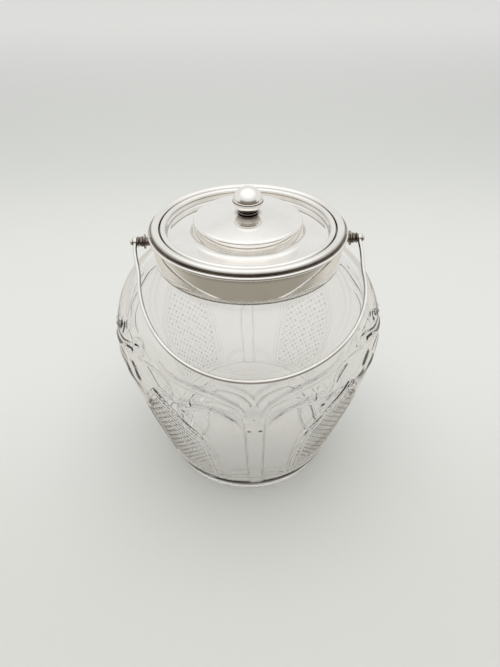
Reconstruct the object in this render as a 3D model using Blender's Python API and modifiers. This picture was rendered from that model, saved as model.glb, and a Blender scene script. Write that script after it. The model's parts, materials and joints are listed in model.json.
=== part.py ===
"""Biscuit barrel: a moulded glass jar with a plated collar, a swinging bail and a lift-off lid.

The jar stands on the origin with +Z up. The bail's pivots lie on the X axis direction and the
bail rests against the belly on the -Y side. All lengths are metres.
"""

import math

import bmesh
import bpy

MM = 0.001

# Gaps and turning resolution
CLEARANCE = 0.3 * MM
CUT_OVERRUN = 1.0 * MM
WELD = 0.001 * MM
JAR_STEPS = 40
FITTING_STEPS = 20
KNOB_STEPS = 24

# Glass jar
FOOT_RADIUS = 54.6 * MM
FOOT_EDGE = 1.5 * MM
FOOT_RING_WIDTH = 9.0 * MM
FOOT_RECESS = 2.5 * MM
FLOOR_HEIGHT = 9.0 * MM
FLOOR_CORNER = 7.0 * MM
BELLY_RADIUS = 82.2 * MM
BELLY_HEIGHT = 103.0 * MM
JAR_WALL = 5.0 * MM
NECK_RADIUS = 51.0 * MM
NECK_ROOT = 1.4 * MM
NECK_WALL = 5.0 * MM
NECK_HEIGHT = 13.1 * MM
LIP_HEIGHT = 165.0 * MM
LIP_EDGE = 2.0 * MM
LOWER_FOOT_HANDLE_SHARES = (0.23, 0.146)
LOWER_BELLY_HANDLE_SHARE = 0.854
UPPER_BELLY_HANDLE_SHARE = 0.49
UPPER_SHOULDER_HANDLE_SHARES = (0.342, 0.81)

# Relief moulded on the jar's side: stems, pointed panels between them and curled leaves, with
# angles in degrees from the middle of the stem or panel that they belong to
RELIEF_HEIGHT = 0.9 * MM
PANEL_HEIGHT = 0.6 * MM
RELIEF_ROOT = 2.0 * MM
STEM_HALF_ANGLE = 3.4
STEM_FOOT_HEIGHT = 13.0 * MM
STEM_TOP_HEIGHT = 108.0 * MM
STEM_ROWS = 7
PANEL_MIDDLE_ANGLE = 42.0
PANEL_HALF_ANGLE = 25.8
PANEL_FOOT_HEIGHT = 16.0 * MM
PANEL_TOP_HEIGHT = 103.5 * MM
PANEL_COLUMNS = 5
PANEL_OUTLINE_SHARES = ((1.0, 0.02), (0.9, 0.26), (0.8, 0.5), (0.72, 0.66), (0.62, 0.77), (0.45, 0.87),
                        (0.28, 0.95), (0.13, 1.0), (0.0, 0.93))
LEAF_WIDTH = 3.4 * MM
ARCHED_LEAF_ANGLE = 28.3
ARCHED_LEAF_SHARES = ((0.18, 0.88), (0.28, 0.94), (0.42, 0.98), (0.6, 1.0), (0.77, 1.0), (0.91, 0.985),
                      (1.0, 0.94))
FRONT_LEAF_ANGLE = 41.5
FRONT_LEAF_HEIGHT = 123.5 * MM
FRONT_LEAF_SHARES = ((0.08, 0.825), (0.2, 0.894), (0.45, 0.932), (0.68, 0.946), (0.83, 0.958), (1.0, 1.0))
SIDE_LEAF_ANGLE = 36.0
SIDE_LEAF_HEIGHT = 121.0 * MM
SIDE_LEAF_SHARES = ((0.1, 0.85), (0.2, 0.893), (0.34, 0.917), (0.58, 0.936), (0.8, 0.975), (1.0, 1.0))

# Collar, its edge wire and the plaster that holds it on the neck
COLLAR_SHEET = 0.8 * MM
COLLAR_BED_WIDTH = 2.8 * MM
COLLAR_FOOT_LIFT = 0.4 * MM
COLLAR_FLARE = 1.5 * MM
COLLAR_BORE_LEDGE = 2.2 * MM
SEAT_RISE = 5.0 * MM
EDGE_WIRE_RADIUS = 1.1 * MM

# Bail pivots, measured outwards along X from the jar's axis
PIVOT_DROP = 9.0 * MM
STUB_RADIUS = 2.4 * MM
FLANGE_STANDOFF = 2.2 * MM
FLANGE_THICKNESS = 0.8 * MM
FLANGE_RADIUS = 4.3 * MM
BARREL_LENGTH = 2.8 * MM
BARREL_RADIUS = 3.0 * MM
BARREL_END_RADIUS = 2.3 * MM
WASHER_THICKNESS = 0.7 * MM
WASHER_RADIUS = 3.0 * MM
SCREW_RADIUS = 1.0 * MM
SCREW_DEPTH = 3.6 * MM
SCREW_HEAD_RADIUS = 2.4 * MM
SCREW_HEAD_HEIGHT = 1.8 * MM

# Bail, bent a little to the right below its straight ends
BAIL_WIRE_RADIUS = 1.15 * MM
BAIL_EYE_THICKNESS = 2.2 * MM
BAIL_EYE_RADIUS = 2.5 * MM
BAIL_STRAIGHT = 5.0 * MM
BAIL_LEG = 26.6 * MM
BAIL_WAIST = 2.2 * MM
BAIL_SKEW = 2.1 * MM
BAIL_LEG_POINTS = 7
BAIL_BOW_POINTS = 40

# Lid, measured up from the collar's seat
LID_SHEET = 0.8 * MM
LID_BEAD_RADIUS = 2.4 * MM
LID_REED_RADIUS = 1.7 * MM
PLATE_DROP = 3.5 * MM
PLATE_CORNER = 1.6 * MM
DOME_RADIUS = 31.2 * MM
DOME_LEAN = 0.3 * MM
DOME_FLARE = 3.0 * MM
DOME_SHOULDER_HEIGHT = 5.2 * MM
DOME_EDGE = 1.8 * MM
CROWN_RISE = 3.0 * MM

# Finial and its fixing, measured up from the crown of the lid
STUD_RADIUS = 1.6 * MM
COLLET_RADIUS = 5.7 * MM
COLLET_THICKNESS = 0.8 * MM
BOWL_NECK_RADIUS = 5.2 * MM
BOWL_RADIUS = 8.3 * MM
BOWL_HEIGHT = 5.7 * MM
BOWL_FLOOR = 1.2 * MM
BOWL_FILLET_WIDTH = 0.45 * MM
BOWL_FILLET_HEIGHT = 0.8 * MM
KNOB_SHEET = 0.9 * MM
CAP_HEIGHT = 7.5 * MM
STUD_HEAD_RADIUS = 3.4 * MM
STUD_HEAD_THICKNESS = 1.0 * MM
STUD_TAIL = 0.9 * MM
LID_WASHER_RADIUS = 5.0 * MM
LID_WASHER_THICKNESS = 0.7 * MM
NUT_RADIUS = 4.0 * MM
NUT_THICKNESS = 3.0 * MM

# Sizes that follow from those above
SHOULDER_HEIGHT = LIP_HEIGHT - NECK_HEIGHT
SEAT_HEIGHT = LIP_HEIGHT + SEAT_RISE
PIVOT_HEIGHT = SEAT_HEIGHT - PIVOT_DROP
NECK_BORE_RADIUS = NECK_RADIUS - NECK_WALL
SHOULDER_RADIUS = NECK_RADIUS + NECK_ROOT
COLLAR_FOOT_HEIGHT = SHOULDER_HEIGHT + COLLAR_FOOT_LIFT
COLLAR_FOOT_RADIUS = NECK_RADIUS + COLLAR_BED_WIDTH
COLLAR_TOP_RADIUS = COLLAR_FOOT_RADIUS + COLLAR_FLARE
COLLAR_BORE_RADIUS = NECK_BORE_RADIUS + COLLAR_BORE_LEDGE
EDGE_WIRE_OUTER_RADIUS = COLLAR_TOP_RADIUS + CLEARANCE + EDGE_WIRE_RADIUS
FLANGE_START = EDGE_WIRE_OUTER_RADIUS + FLANGE_STANDOFF
FLANGE_END = FLANGE_START + FLANGE_THICKNESS
POST_END = FLANGE_END + BARREL_LENGTH
WASHER_START = POST_END + CLEARANCE
WASHER_END = WASHER_START + WASHER_THICKNESS
EYE_START = WASHER_END + CLEARANCE
EYE_MIDDLE = EYE_START + BAIL_EYE_THICKNESS / 2
BAIL_BOW_RADIUS = EYE_MIDDLE - BAIL_WAIST
BAIL_DEPTH = BAIL_LEG + BAIL_BOW_RADIUS
SCREW_HEAD_START = EYE_START + BAIL_EYE_THICKNESS + CLEARANCE
SCREW_HOLE_RADIUS = SCREW_RADIUS + CLEARANCE
LID_BEAD_OUTER_RADIUS = COLLAR_TOP_RADIUS - CLEARANCE
LID_BEAD_INNER_RADIUS = LID_BEAD_OUTER_RADIUS - 2 * LID_BEAD_RADIUS
REED_OUTER_RADIUS = LID_BEAD_INNER_RADIUS - CLEARANCE
REED_INNER_RADIUS = REED_OUTER_RADIUS - 2 * LID_REED_RADIUS
DOME_FOOT_RADIUS = DOME_RADIUS + DOME_LEAN + DOME_FLARE
CROWN_HEIGHT = DOME_SHOULDER_HEIGHT + CROWN_RISE
STUD_HOLE_RADIUS = STUD_RADIUS + CLEARANCE
COLLET_BASE = CLEARANCE
BOWL_BASE = COLLET_BASE + COLLET_THICKNESS + CLEARANCE
CAP_BASE = BOWL_BASE + BOWL_HEIGHT + CLEARANCE


def clear_scene():
    """Remove every object that the scene starts with."""
    for obj in list(bpy.data.objects):
        bpy.data.objects.remove(obj, do_unlink=True)


def new_collection(name):
    """Return a new collection linked to the scene."""
    collection = bpy.data.collections.new(name)
    bpy.context.scene.collection.children.link(collection)
    return collection


def finish(name, colour, roughness, metallic, transmission=0.0):
    """Return a Principled material of one plain finish."""
    material = bpy.data.materials.new(name)
    material.use_nodes = True
    shader = material.node_tree.nodes["Principled BSDF"]
    shader.inputs["Base Color"].default_value = (*colour, 1.0)
    shader.inputs["Roughness"].default_value = roughness
    shader.inputs["Metallic"].default_value = metallic
    shader.inputs["Transmission Weight"].default_value = transmission
    return material


def arc(centre, radius, start, end, count):
    """Return count points of a circular arc from the start angle to the end angle, in degrees."""
    angles = (math.radians(start + (end - start) * i / (count - 1)) for i in range(count))
    return [(centre[0] + radius * math.cos(a), centre[1] + radius * math.sin(a)) for a in angles]


def bezier(points, count):
    """Return count points of the cubic curve through the four control points."""
    curve = []
    for i in range(count):
        t = i / (count - 1)
        weights = ((1 - t) ** 3, 3 * t * (1 - t) ** 2, 3 * t ** 2 * (1 - t), t ** 3)
        curve.append(tuple(sum(w * p[axis] for w, p in zip(weights, points)) for axis in (0, 1)))
    return curve


def offset(points, distance):
    """Return the outline moved sideways by a distance, to the right of its direction."""
    moved = []
    for i, (x, z) in enumerate(points):
        before = points[max(i - 1, 0)]
        after = points[min(i + 1, len(points) - 1)]
        along = (after[0] - before[0], after[1] - before[1])
        length = math.hypot(*along)
        moved.append((x + distance * along[1] / length, z - distance * along[0] / length))
    return moved


def turned(name, outline, steps, closed=True):
    """Return an object turned about Z from an outline that runs down its outer side."""
    mesh = bpy.data.meshes.new(name)
    last = len(outline) - 1
    edges = [(i, i + 1) for i in range(last)] + ([(last, 0)] if closed else [])
    mesh.from_pydata([(radius, 0.0, height) for radius, height in outline], edges, [])
    obj = bpy.data.objects.new(name, mesh)
    screw = obj.modifiers.new("Turn", "SCREW")
    screw.steps = steps
    screw.render_steps = steps
    screw.use_merge_vertices = True
    screw.merge_threshold = WELD
    screw.use_smooth_shade = True
    return obj


def place(obj, collection, material, parent=None):
    """Put a piece in its collection with its material and parent, and return it."""
    obj.data.materials.append(material)
    collection.objects.link(obj)
    obj.parent = parent
    return obj


def pivot_point(name, height, tilt, collection):
    """Return an empty that carries moving pieces at a height on the jar's axis."""
    empty = bpy.data.objects.new(name, None)
    empty.location = (0.0, 0.0, height)
    empty.rotation_euler = (tilt, 0.0, 0.0)
    collection.objects.link(empty)
    return empty


def cylinder(name, radius, length, segments=FITTING_STEPS):
    """Return a closed cylinder about Z, centred on its origin."""
    mesh = bpy.data.meshes.new(name)
    shape = bmesh.new()
    bmesh.ops.create_cone(shape, cap_ends=True, segments=segments, radius1=radius,
                          radius2=radius, depth=length)
    shape.to_mesh(mesh)
    shape.free()
    mesh.shade_smooth()
    mesh.set_sharp_from_angle(angle=math.radians(40))
    return bpy.data.objects.new(name, mesh)


def as_guide(obj, cutters):
    """Hide a tool body from the model and keep it with the cutters."""
    obj.hide_render = True
    obj.display_type = "WIRE"
    cutters.objects.link(obj)
    return obj


def combine(obj, tool, operation):
    """Join a tool body to a piece or cut it away."""
    boolean = obj.modifiers.new(tool.name, "BOOLEAN")
    boolean.object = tool
    boolean.operation = operation
    boolean.solver = "EXACT"


def combine_all(obj, tools, operation):
    """Join all tool bodies of a collection to a piece or cut them away in one go."""
    boolean = obj.modifiers.new(tools.name, "BOOLEAN")
    boolean.operand_type = "COLLECTION"
    boolean.collection = tools
    boolean.operation = operation
    boolean.solver = "EXACT"


def jar_side():
    """Return the jar's outer side, from the neck root down to the foot."""
    swell = BELLY_RADIUS - FOOT_RADIUS
    draw_in = BELLY_RADIUS - SHOULDER_RADIUS
    lower_rise = BELLY_HEIGHT - FOOT_EDGE
    upper_rise = SHOULDER_HEIGHT - BELLY_HEIGHT
    upper = bezier(
        [(SHOULDER_RADIUS, SHOULDER_HEIGHT),
         (BELLY_RADIUS - draw_in * UPPER_SHOULDER_HANDLE_SHARES[0],
          BELLY_HEIGHT + upper_rise * UPPER_SHOULDER_HANDLE_SHARES[1]),
         (BELLY_RADIUS, BELLY_HEIGHT + upper_rise * UPPER_BELLY_HANDLE_SHARE),
         (BELLY_RADIUS, BELLY_HEIGHT)], 8)
    lower = bezier(
        [(BELLY_RADIUS, BELLY_HEIGHT),
         (BELLY_RADIUS, FOOT_EDGE + lower_rise * LOWER_BELLY_HANDLE_SHARE),
         (FOOT_RADIUS + swell * LOWER_FOOT_HANDLE_SHARES[0],
          FOOT_EDGE + lower_rise * LOWER_FOOT_HANDLE_SHARES[1]),
         (FOOT_RADIUS, FOOT_EDGE)], 8)
    return upper + lower[1:]


def glass_jar():
    """Return the moulded jar with its neck, thick floor and recessed foot."""
    side = jar_side()
    wall = offset(side, JAR_WALL)
    hollow = [p for p in reversed(wall)
              if p[1] > FLOOR_HEIGHT + FLOOR_CORNER and p[0] > NECK_BORE_RADIUS + NECK_ROOT]
    corner = (hollow[0][0] - FLOOR_CORNER, FLOOR_HEIGHT + FLOOR_CORNER)
    floor = arc(corner, FLOOR_CORNER, -90, 0, 4)
    lip_inner = (NECK_BORE_RADIUS + LIP_EDGE, LIP_HEIGHT - LIP_EDGE)
    lip_outer = (NECK_RADIUS - LIP_EDGE, LIP_HEIGHT - LIP_EDGE)
    root = (NECK_RADIUS + NECK_ROOT, SHOULDER_HEIGHT + NECK_ROOT)
    recess_radius = FOOT_RADIUS - FOOT_RING_WIDTH
    outline = [(0.0, FLOOR_HEIGHT)] + floor + hollow
    outline += [(NECK_BORE_RADIUS, SHOULDER_HEIGHT + NECK_ROOT)]
    outline += arc(lip_inner, LIP_EDGE, 180, 90, 3) + arc(lip_outer, LIP_EDGE, 90, 0, 3)
    outline += arc(root, NECK_ROOT, 180, 225, 2) + side
    outline += arc((FOOT_RADIUS - FOOT_EDGE, FOOT_EDGE), FOOT_EDGE, -30, -90, 3)
    outline += [(recess_radius, 0.0), (recess_radius - FOOT_RECESS, FOOT_RECESS), (0.0, FOOT_RECESS)]
    return turned("glass_jar", outline, JAR_STEPS, closed=False)


def over_side(angle, height, lift):
    """Return a point over the jar's side, at an angle from the front in degrees and a height."""
    turn = math.radians(angle)
    radius = radius_at(jar_side(), height) + lift
    return (radius * math.sin(turn), -radius * math.cos(turn), height)


def skin(name, rows, depth):
    """Return a closed slab under rows of points that run across a face from top to bottom."""
    columns = len(rows[0])
    vertices = [point for row in rows for point in row]
    faces = [(i * columns + j, (i + 1) * columns + j, (i + 1) * columns + j + 1, i * columns + j + 1)
             for i in range(len(rows) - 1) for j in range(columns - 1)]
    mesh = bpy.data.meshes.new(name)
    mesh.from_pydata(vertices, [], faces)
    obj = bpy.data.objects.new(name, mesh)
    solidify = obj.modifiers.new("Wall", "SOLIDIFY")
    solidify.thickness = depth
    solidify.offset = -1
    return obj


def stem(name, middle):
    """Return one upright stem."""
    rows = []
    for i in range(STEM_ROWS):
        height = STEM_TOP_HEIGHT + (STEM_FOOT_HEIGHT - STEM_TOP_HEIGHT) * i / (STEM_ROWS - 1)
        rows.append([over_side(middle + side * STEM_HALF_ANGLE, height, RELIEF_HEIGHT)
                     for side in (-1, 0, 1)])
    return skin(name, rows, RELIEF_HEIGHT + RELIEF_ROOT)


def panel(name, middle):
    """Return the raised ground of one pointed panel."""
    rows = []
    for rise_share, width_share in PANEL_OUTLINE_SHARES:
        height = PANEL_FOOT_HEIGHT + (PANEL_TOP_HEIGHT - PANEL_FOOT_HEIGHT) * rise_share
        reach = PANEL_HALF_ANGLE * width_share
        rows.append([over_side(middle - reach + 2 * reach * i / PANEL_COLUMNS, height, PANEL_HEIGHT)
                     for i in range(PANEL_COLUMNS + 1)])
    return skin(name, rows, PANEL_HEIGHT + RELIEF_ROOT)


def leaf(name, middle, side, path):
    """Return one ridged leaf that springs from a stem and runs along a path of angles and heights."""
    rows = []
    points = [over_side(middle + side * angle, height, 0.0) for angle, height in path]
    for i, (angle, height) in enumerate(path):
        before, after = points[max(i - 1, 0)], points[min(i + 1, len(points) - 1)]
        along = [b - a for a, b in zip(before, after)]
        length = math.sqrt(sum(step * step for step in along))
        sideways = math.hypot(along[0], along[1]) / length
        radius = radius_at(jar_side(), height)
        turn = math.degrees(LEAF_WIDTH / 2 * along[2] / length / radius)
        climb = LEAF_WIDTH / 2 * sideways
        rows.append([over_side(middle + side * (angle - turn), height + climb, 0.0),
                     over_side(middle + side * angle, height, RELIEF_HEIGHT),
                     over_side(middle + side * (angle + turn), height - climb, 0.0)])
    if side > 0:
        rows.reverse()
    return skin(name, rows, RELIEF_ROOT)


def scaled(shares, angle, height):
    """Return a path of angles and heights from its shares."""
    return [(angle * angle_share, height * height_share) for angle_share, height_share in shares]


def relief():
    """Return the bodies that stand out of the jar's side: stems, panels and leaves."""
    arched = scaled(ARCHED_LEAF_SHARES, ARCHED_LEAF_ANGLE, BELLY_HEIGHT)
    front = scaled(FRONT_LEAF_SHARES, FRONT_LEAF_ANGLE, FRONT_LEAF_HEIGHT)
    sides = scaled(SIDE_LEAF_SHARES, SIDE_LEAF_ANGLE, SIDE_LEAF_HEIGHT)
    bodies = []
    for word, middle, long_leaf in (("front", 0, front), ("right", 90, sides), ("back", 180, front),
                                    ("left", 270, sides)):
        bodies.append(stem(f"{word}_stem", middle))
        for side, hand in ((-1, "a"), (1, "b")):
            bodies.append(leaf(f"{word}_arched_leaf_{hand}", middle, side, arched))
            bodies.append(leaf(f"{word}_long_leaf_{hand}", middle, side, long_leaf))
    for word, middle in (("front_right", PANEL_MIDDLE_ANGLE), ("back_right", 180 - PANEL_MIDDLE_ANGLE),
                         ("back_left", 180 + PANEL_MIDDLE_ANGLE), ("front_left", 360 - PANEL_MIDDLE_ANGLE)):
        bodies.append(panel(f"{word}_panel", middle))
    return bodies


def collar_radius(height, inset=0.0):
    """Return the radius of the collar band's outer face at a height."""
    share = (height - COLLAR_FOOT_HEIGHT) / (SEAT_HEIGHT - COLLAR_FOOT_HEIGHT)
    return COLLAR_FOOT_RADIUS + (COLLAR_TOP_RADIUS - COLLAR_FOOT_RADIUS) * share - inset


def neck_collar():
    """Return the tapered band with the inward flange that the lid sits on."""
    flange_bottom = SEAT_HEIGHT - COLLAR_SHEET
    outline = [
        (COLLAR_BORE_RADIUS, SEAT_HEIGHT),
        (COLLAR_TOP_RADIUS, SEAT_HEIGHT),
        (COLLAR_FOOT_RADIUS, COLLAR_FOOT_HEIGHT),
        (COLLAR_FOOT_RADIUS - COLLAR_SHEET, COLLAR_FOOT_HEIGHT),
        (collar_radius(flange_bottom, COLLAR_SHEET), flange_bottom),
        (COLLAR_BORE_RADIUS, flange_bottom)]
    return turned("neck_collar", outline, JAR_STEPS)


def collar_edge_wire():
    """Return the half-round wire soldered around the collar's top edge."""
    centre = (COLLAR_TOP_RADIUS + CLEARANCE, SEAT_HEIGHT - EDGE_WIRE_RADIUS)
    return turned("collar_edge_wire", arc(centre, EDGE_WIRE_RADIUS, 90, -90, 8), JAR_STEPS)


def plaster_bed():
    """Return the plaster that fills the space between the neck and the collar."""
    top = SEAT_HEIGHT - COLLAR_SHEET - CLEARANCE
    bottom = SHOULDER_HEIGHT + NECK_ROOT + CLEARANCE
    inset = COLLAR_SHEET + CLEARANCE
    over_lip = LIP_HEIGHT + CLEARANCE
    outline = [
        (COLLAR_BORE_RADIUS + CLEARANCE, top),
        (collar_radius(top, inset), top),
        (collar_radius(bottom, inset), bottom),
        (NECK_RADIUS + CLEARANCE, bottom),
        (NECK_RADIUS + CLEARANCE, over_lip),
        (COLLAR_BORE_RADIUS + CLEARANCE, over_lip)]
    return turned("plaster_bed", outline, JAR_STEPS)


def facing_outwards(obj, side):
    """Turn a piece that is modelled along Z so that it points outwards along X at a pivot."""
    obj.location = (0.0, 0.0, PIVOT_HEIGHT)
    obj.rotation_euler = (0.0, side * math.radians(90), 0.0)
    return obj


def pivot_post(name, side):
    """Return the turned post that is soldered to the collar and carries one bail eye."""
    stub_start = COLLAR_FOOT_RADIUS - CUT_OVERRUN
    hole_bottom = POST_END - SCREW_DEPTH - CLEARANCE
    bulge = FLANGE_END + BARREL_LENGTH / 2
    outline = [
        (0.0, hole_bottom),
        (SCREW_HOLE_RADIUS, hole_bottom),
        (SCREW_HOLE_RADIUS, POST_END),
        (BARREL_END_RADIUS, POST_END),
        (BARREL_RADIUS, bulge + BARREL_LENGTH / 8),
        (BARREL_RADIUS, bulge - BARREL_LENGTH / 8),
        (BARREL_END_RADIUS, FLANGE_END),
        (FLANGE_RADIUS, FLANGE_END),
        (FLANGE_RADIUS, FLANGE_START),
        (STUB_RADIUS, FLANGE_START),
        (STUB_RADIUS, stub_start),
        (0.0, stub_start)]
    return facing_outwards(turned(name, outline, FITTING_STEPS, closed=False), side)


def collar_cutter():
    """Return the collar's outer form with a clearance, which trims the posts' inner ends."""
    outline = [
        (0.0, SEAT_HEIGHT),
        (COLLAR_TOP_RADIUS + CLEARANCE, SEAT_HEIGHT),
        (COLLAR_FOOT_RADIUS + CLEARANCE, COLLAR_FOOT_HEIGHT),
        (0.0, COLLAR_FOOT_HEIGHT)]
    return turned("collar_form", outline, JAR_STEPS, closed=False)


def ring(name, bore, radius, start, thickness, steps):
    """Return a flat ring about Z that starts at a height."""
    outline = [(bore, start + thickness), (radius, start + thickness), (radius, start), (bore, start)]
    return turned(name, outline, steps)


def pivot_screw(name, side):
    """Return the domed screw that passes through the bail's eye into the post."""
    centre = (0.0, SCREW_HEAD_START + SCREW_HEAD_HEIGHT - SCREW_HEAD_RADIUS)
    flat = math.degrees(math.asin((SCREW_HEAD_RADIUS - SCREW_HEAD_HEIGHT) / SCREW_HEAD_RADIUS))
    outline = [(0.0, SCREW_HEAD_START + SCREW_HEAD_HEIGHT)] + arc(centre, SCREW_HEAD_RADIUS, 80, flat, 7)
    outline += [(SCREW_RADIUS, SCREW_HEAD_START), (SCREW_RADIUS, POST_END - SCREW_DEPTH),
                (0.0, POST_END - SCREW_DEPTH)]
    return facing_outwards(turned(name, outline, FITTING_STEPS, closed=False), side)


def skewed(point):
    """Return a point of the bail's centre line moved to the right, most at half its depth."""
    share = max(-point[1] - BAIL_STRAIGHT, 0.0) / (BAIL_DEPTH - BAIL_STRAIGHT)
    return (point[0] + BAIL_SKEW * math.sin(math.pi * share), point[1])


def bail_path():
    """Return the bail wire's centre line in its own plane, from one eye to the other."""
    leg = []
    for i in range(BAIL_LEG_POINTS):
        t = i / BAIL_LEG_POINTS
        ease = t * t * (3 - 2 * t)
        leg.append((EYE_MIDDLE + (BAIL_BOW_RADIUS - EYE_MIDDLE) * ease,
                    -BAIL_STRAIGHT - (BAIL_LEG - BAIL_STRAIGHT) * t))
    bow = arc((0.0, -BAIL_LEG), BAIL_BOW_RADIUS, 0, -180, BAIL_BOW_POINTS)
    right = [(EYE_MIDDLE, -BAIL_EYE_RADIUS / 2)] + leg
    return [skewed(point) for point in right + bow + [(-x, z) for x, z in reversed(right)]]


def radius_at(outline, height):
    """Return the radius of an outline that runs downwards at a height, or zero beyond its ends."""
    for (upper_radius, upper), (lower_radius, lower) in zip(outline, outline[1:]):
        if lower <= height <= upper:
            share = (height - lower) / (upper - lower)
            return lower_radius + (upper_radius - lower_radius) * share
    return 0.0


def bail_rest_angle():
    """Return the tilt forward of straight down, in whole degrees, at which the bail clears the glass."""
    kept_clear = offset(jar_side(), -(BAIL_WIRE_RADIUS + CLEARANCE))

    def clears(tilt):
        return all(
            math.hypot(x, z * math.sin(tilt)) > radius_at(kept_clear, PIVOT_HEIGHT + z * math.cos(tilt))
            for x, z in bail_path())

    degrees = 0
    while not clears(math.radians(degrees)):
        degrees += 1
    return math.radians(degrees)


def mesh_from_curve(curve_object):
    """Return a mesh object made from a curve object, with its caps welded."""
    evaluated = curve_object.evaluated_get(bpy.context.evaluated_depsgraph_get())
    mesh = bpy.data.meshes.new_from_object(evaluated)
    shape = bmesh.new()
    shape.from_mesh(mesh)
    bmesh.ops.remove_doubles(shape, verts=shape.verts, dist=WELD)
    shape.to_mesh(mesh)
    shape.free()
    obj = bpy.data.objects.new(curve_object.name, mesh)
    obj.matrix_world = curve_object.matrix_world
    return obj


def bail_handle(collection, cutters):
    """Return the bail: one bent wire with a pierced eye at each end."""
    curve = bpy.data.curves.new("bail_wire", "CURVE")
    curve.dimensions = "3D"
    curve.bevel_depth = BAIL_WIRE_RADIUS
    curve.bevel_resolution = 3
    curve.use_fill_caps = True
    path = bail_path()
    spline = curve.splines.new("POLY")
    spline.points.add(len(path) - 1)
    for point, (x, z) in zip(spline.points, path):
        point.co = (x, 0.0, z, 1.0)
    wire = bpy.data.objects.new("bail_wire", curve)
    collection.objects.link(wire)
    bpy.context.view_layer.update()
    bail = mesh_from_curve(wire)
    bpy.data.objects.remove(wire, do_unlink=True)
    bail.name = "bail_handle"
    for side, word in ((1, "right"), (-1, "left")):
        eye = as_guide(cylinder(f"{word}_eye", BAIL_EYE_RADIUS, BAIL_EYE_THICKNESS), cutters)
        hole_length = BAIL_EYE_THICKNESS + 2 * CUT_OVERRUN
        hole = as_guide(cylinder(f"{word}_eye_hole", SCREW_HOLE_RADIUS, hole_length), cutters)
        for tool, operation in ((eye, "UNION"), (hole, "DIFFERENCE")):
            tool.location = (side * EYE_MIDDLE, 0.0, 0.0)
            tool.rotation_euler = (0.0, math.radians(90), 0.0)
            combine(bail, tool, operation)
    return bail


def crown_height(radius):
    """Return the height of the dome's shallow crown at a radius."""
    fall = CROWN_HEIGHT - DOME_SHOULDER_HEIGHT
    return CROWN_HEIGHT - fall * (radius / DOME_RADIUS) ** 2


def lid_top():
    """Return the lid sheet's upper face, from its centre hole out to its rim."""
    crown_end = DOME_RADIUS - DOME_EDGE
    radii = [STUD_HOLE_RADIUS + (crown_end - STUD_HOLE_RADIUS) * i / 3 for i in range(4)]
    crown = [(radius, crown_height(radius)) for radius in radii]
    edge_centre = (crown_end, crown_height(crown_end) - DOME_EDGE)
    edge = arc(edge_centre, DOME_EDGE, 72, 0, 3)
    flare_centre = (DOME_FOOT_RADIUS, DOME_FLARE - PLATE_DROP)
    flare = arc(flare_centre, DOME_FLARE, 185, 270, 5)
    corner_centre = (REED_INNER_RADIUS - PLATE_CORNER, PLATE_CORNER - PLATE_DROP)
    corner = arc(corner_centre, PLATE_CORNER, -90, 0, 3)
    reed_centre = (REED_OUTER_RADIUS - LID_REED_RADIUS, CLEARANCE)
    reed = arc(reed_centre, LID_REED_RADIUS, 180, 0, 7)
    return crown + edge + flare + corner + reed


def lid_shell():
    """Return the spun lid sheet: dome, sunk plate and the reed inside the bead."""
    top = lid_top()
    return turned("lid_shell", top + offset(top, LID_SHEET)[::-1], JAR_STEPS)


def lid_bead():
    """Return the half-round bead around the lid, which rests on the collar."""
    centre = (LID_BEAD_OUTER_RADIUS - LID_BEAD_RADIUS, CLEARANCE)
    return turned("lid_bead", arc(centre, LID_BEAD_RADIUS, 180, 0, 9), JAR_STEPS)


def finial_collet():
    """Return the small turned ring between the crown of the lid and the knob."""
    base = CROWN_HEIGHT + COLLET_BASE
    middle = base + COLLET_THICKNESS / 2
    edge = arc((COLLET_RADIUS - COLLET_THICKNESS / 2, middle), COLLET_THICKNESS / 2, 90, -90, 5)
    outline = [(STUD_HOLE_RADIUS, base + COLLET_THICKNESS)] + edge + [(STUD_HOLE_RADIUS, base)]
    return turned("finial_collet", outline, KNOB_STEPS)


def finial_bowl():
    """Return the lower half of the hollow knob, with its neck and raised seam."""
    base = CROWN_HEIGHT + BOWL_BASE
    rim = base + BOWL_HEIGHT
    fillet_bottom = rim - BOWL_FILLET_HEIGHT
    wide = BOWL_RADIUS + BOWL_FILLET_WIDTH
    side = bezier([(BOWL_RADIUS, fillet_bottom),
                   (BOWL_RADIUS, rim - BOWL_HEIGHT / 2),
                   (BOWL_NECK_RADIUS + KNOB_SHEET, base + BOWL_HEIGHT / 5),
                   (BOWL_NECK_RADIUS, base)], 7)
    inside = BOWL_RADIUS - KNOB_SHEET
    outline = [
        (STUD_HOLE_RADIUS, base + BOWL_FLOOR),
        (BOWL_NECK_RADIUS - KNOB_SHEET / 2, base + BOWL_FLOOR),
        (inside, rim - BOWL_HEIGHT / 3),
        (inside, rim),
        (BOWL_RADIUS, rim),
        (wide, rim - BOWL_FILLET_HEIGHT / 4),
        (wide, fillet_bottom + BOWL_FILLET_HEIGHT / 4)]
    outline += side + [(STUD_HOLE_RADIUS, base)]
    return turned("finial_bowl", outline, KNOB_STEPS)


def finial_cap():
    """Return the upper half of the hollow knob."""
    base = CROWN_HEIGHT + CAP_BASE
    inner_radius = BOWL_RADIUS - KNOB_SHEET
    inner_height = CAP_HEIGHT - KNOB_SHEET
    quarter = arc((0.0, 0.0), 1.0, 90, 0, 9)
    outline = [(x * BOWL_RADIUS, base + z * CAP_HEIGHT) for x, z in quarter]
    outline += [(x * inner_radius, base + z * inner_height) for x, z in reversed(quarter)]
    outline[0] = (0.0, base + CAP_HEIGHT)
    outline[-1] = (0.0, base + inner_height)
    return turned("finial_cap", outline, KNOB_STEPS, closed=False)


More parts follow.
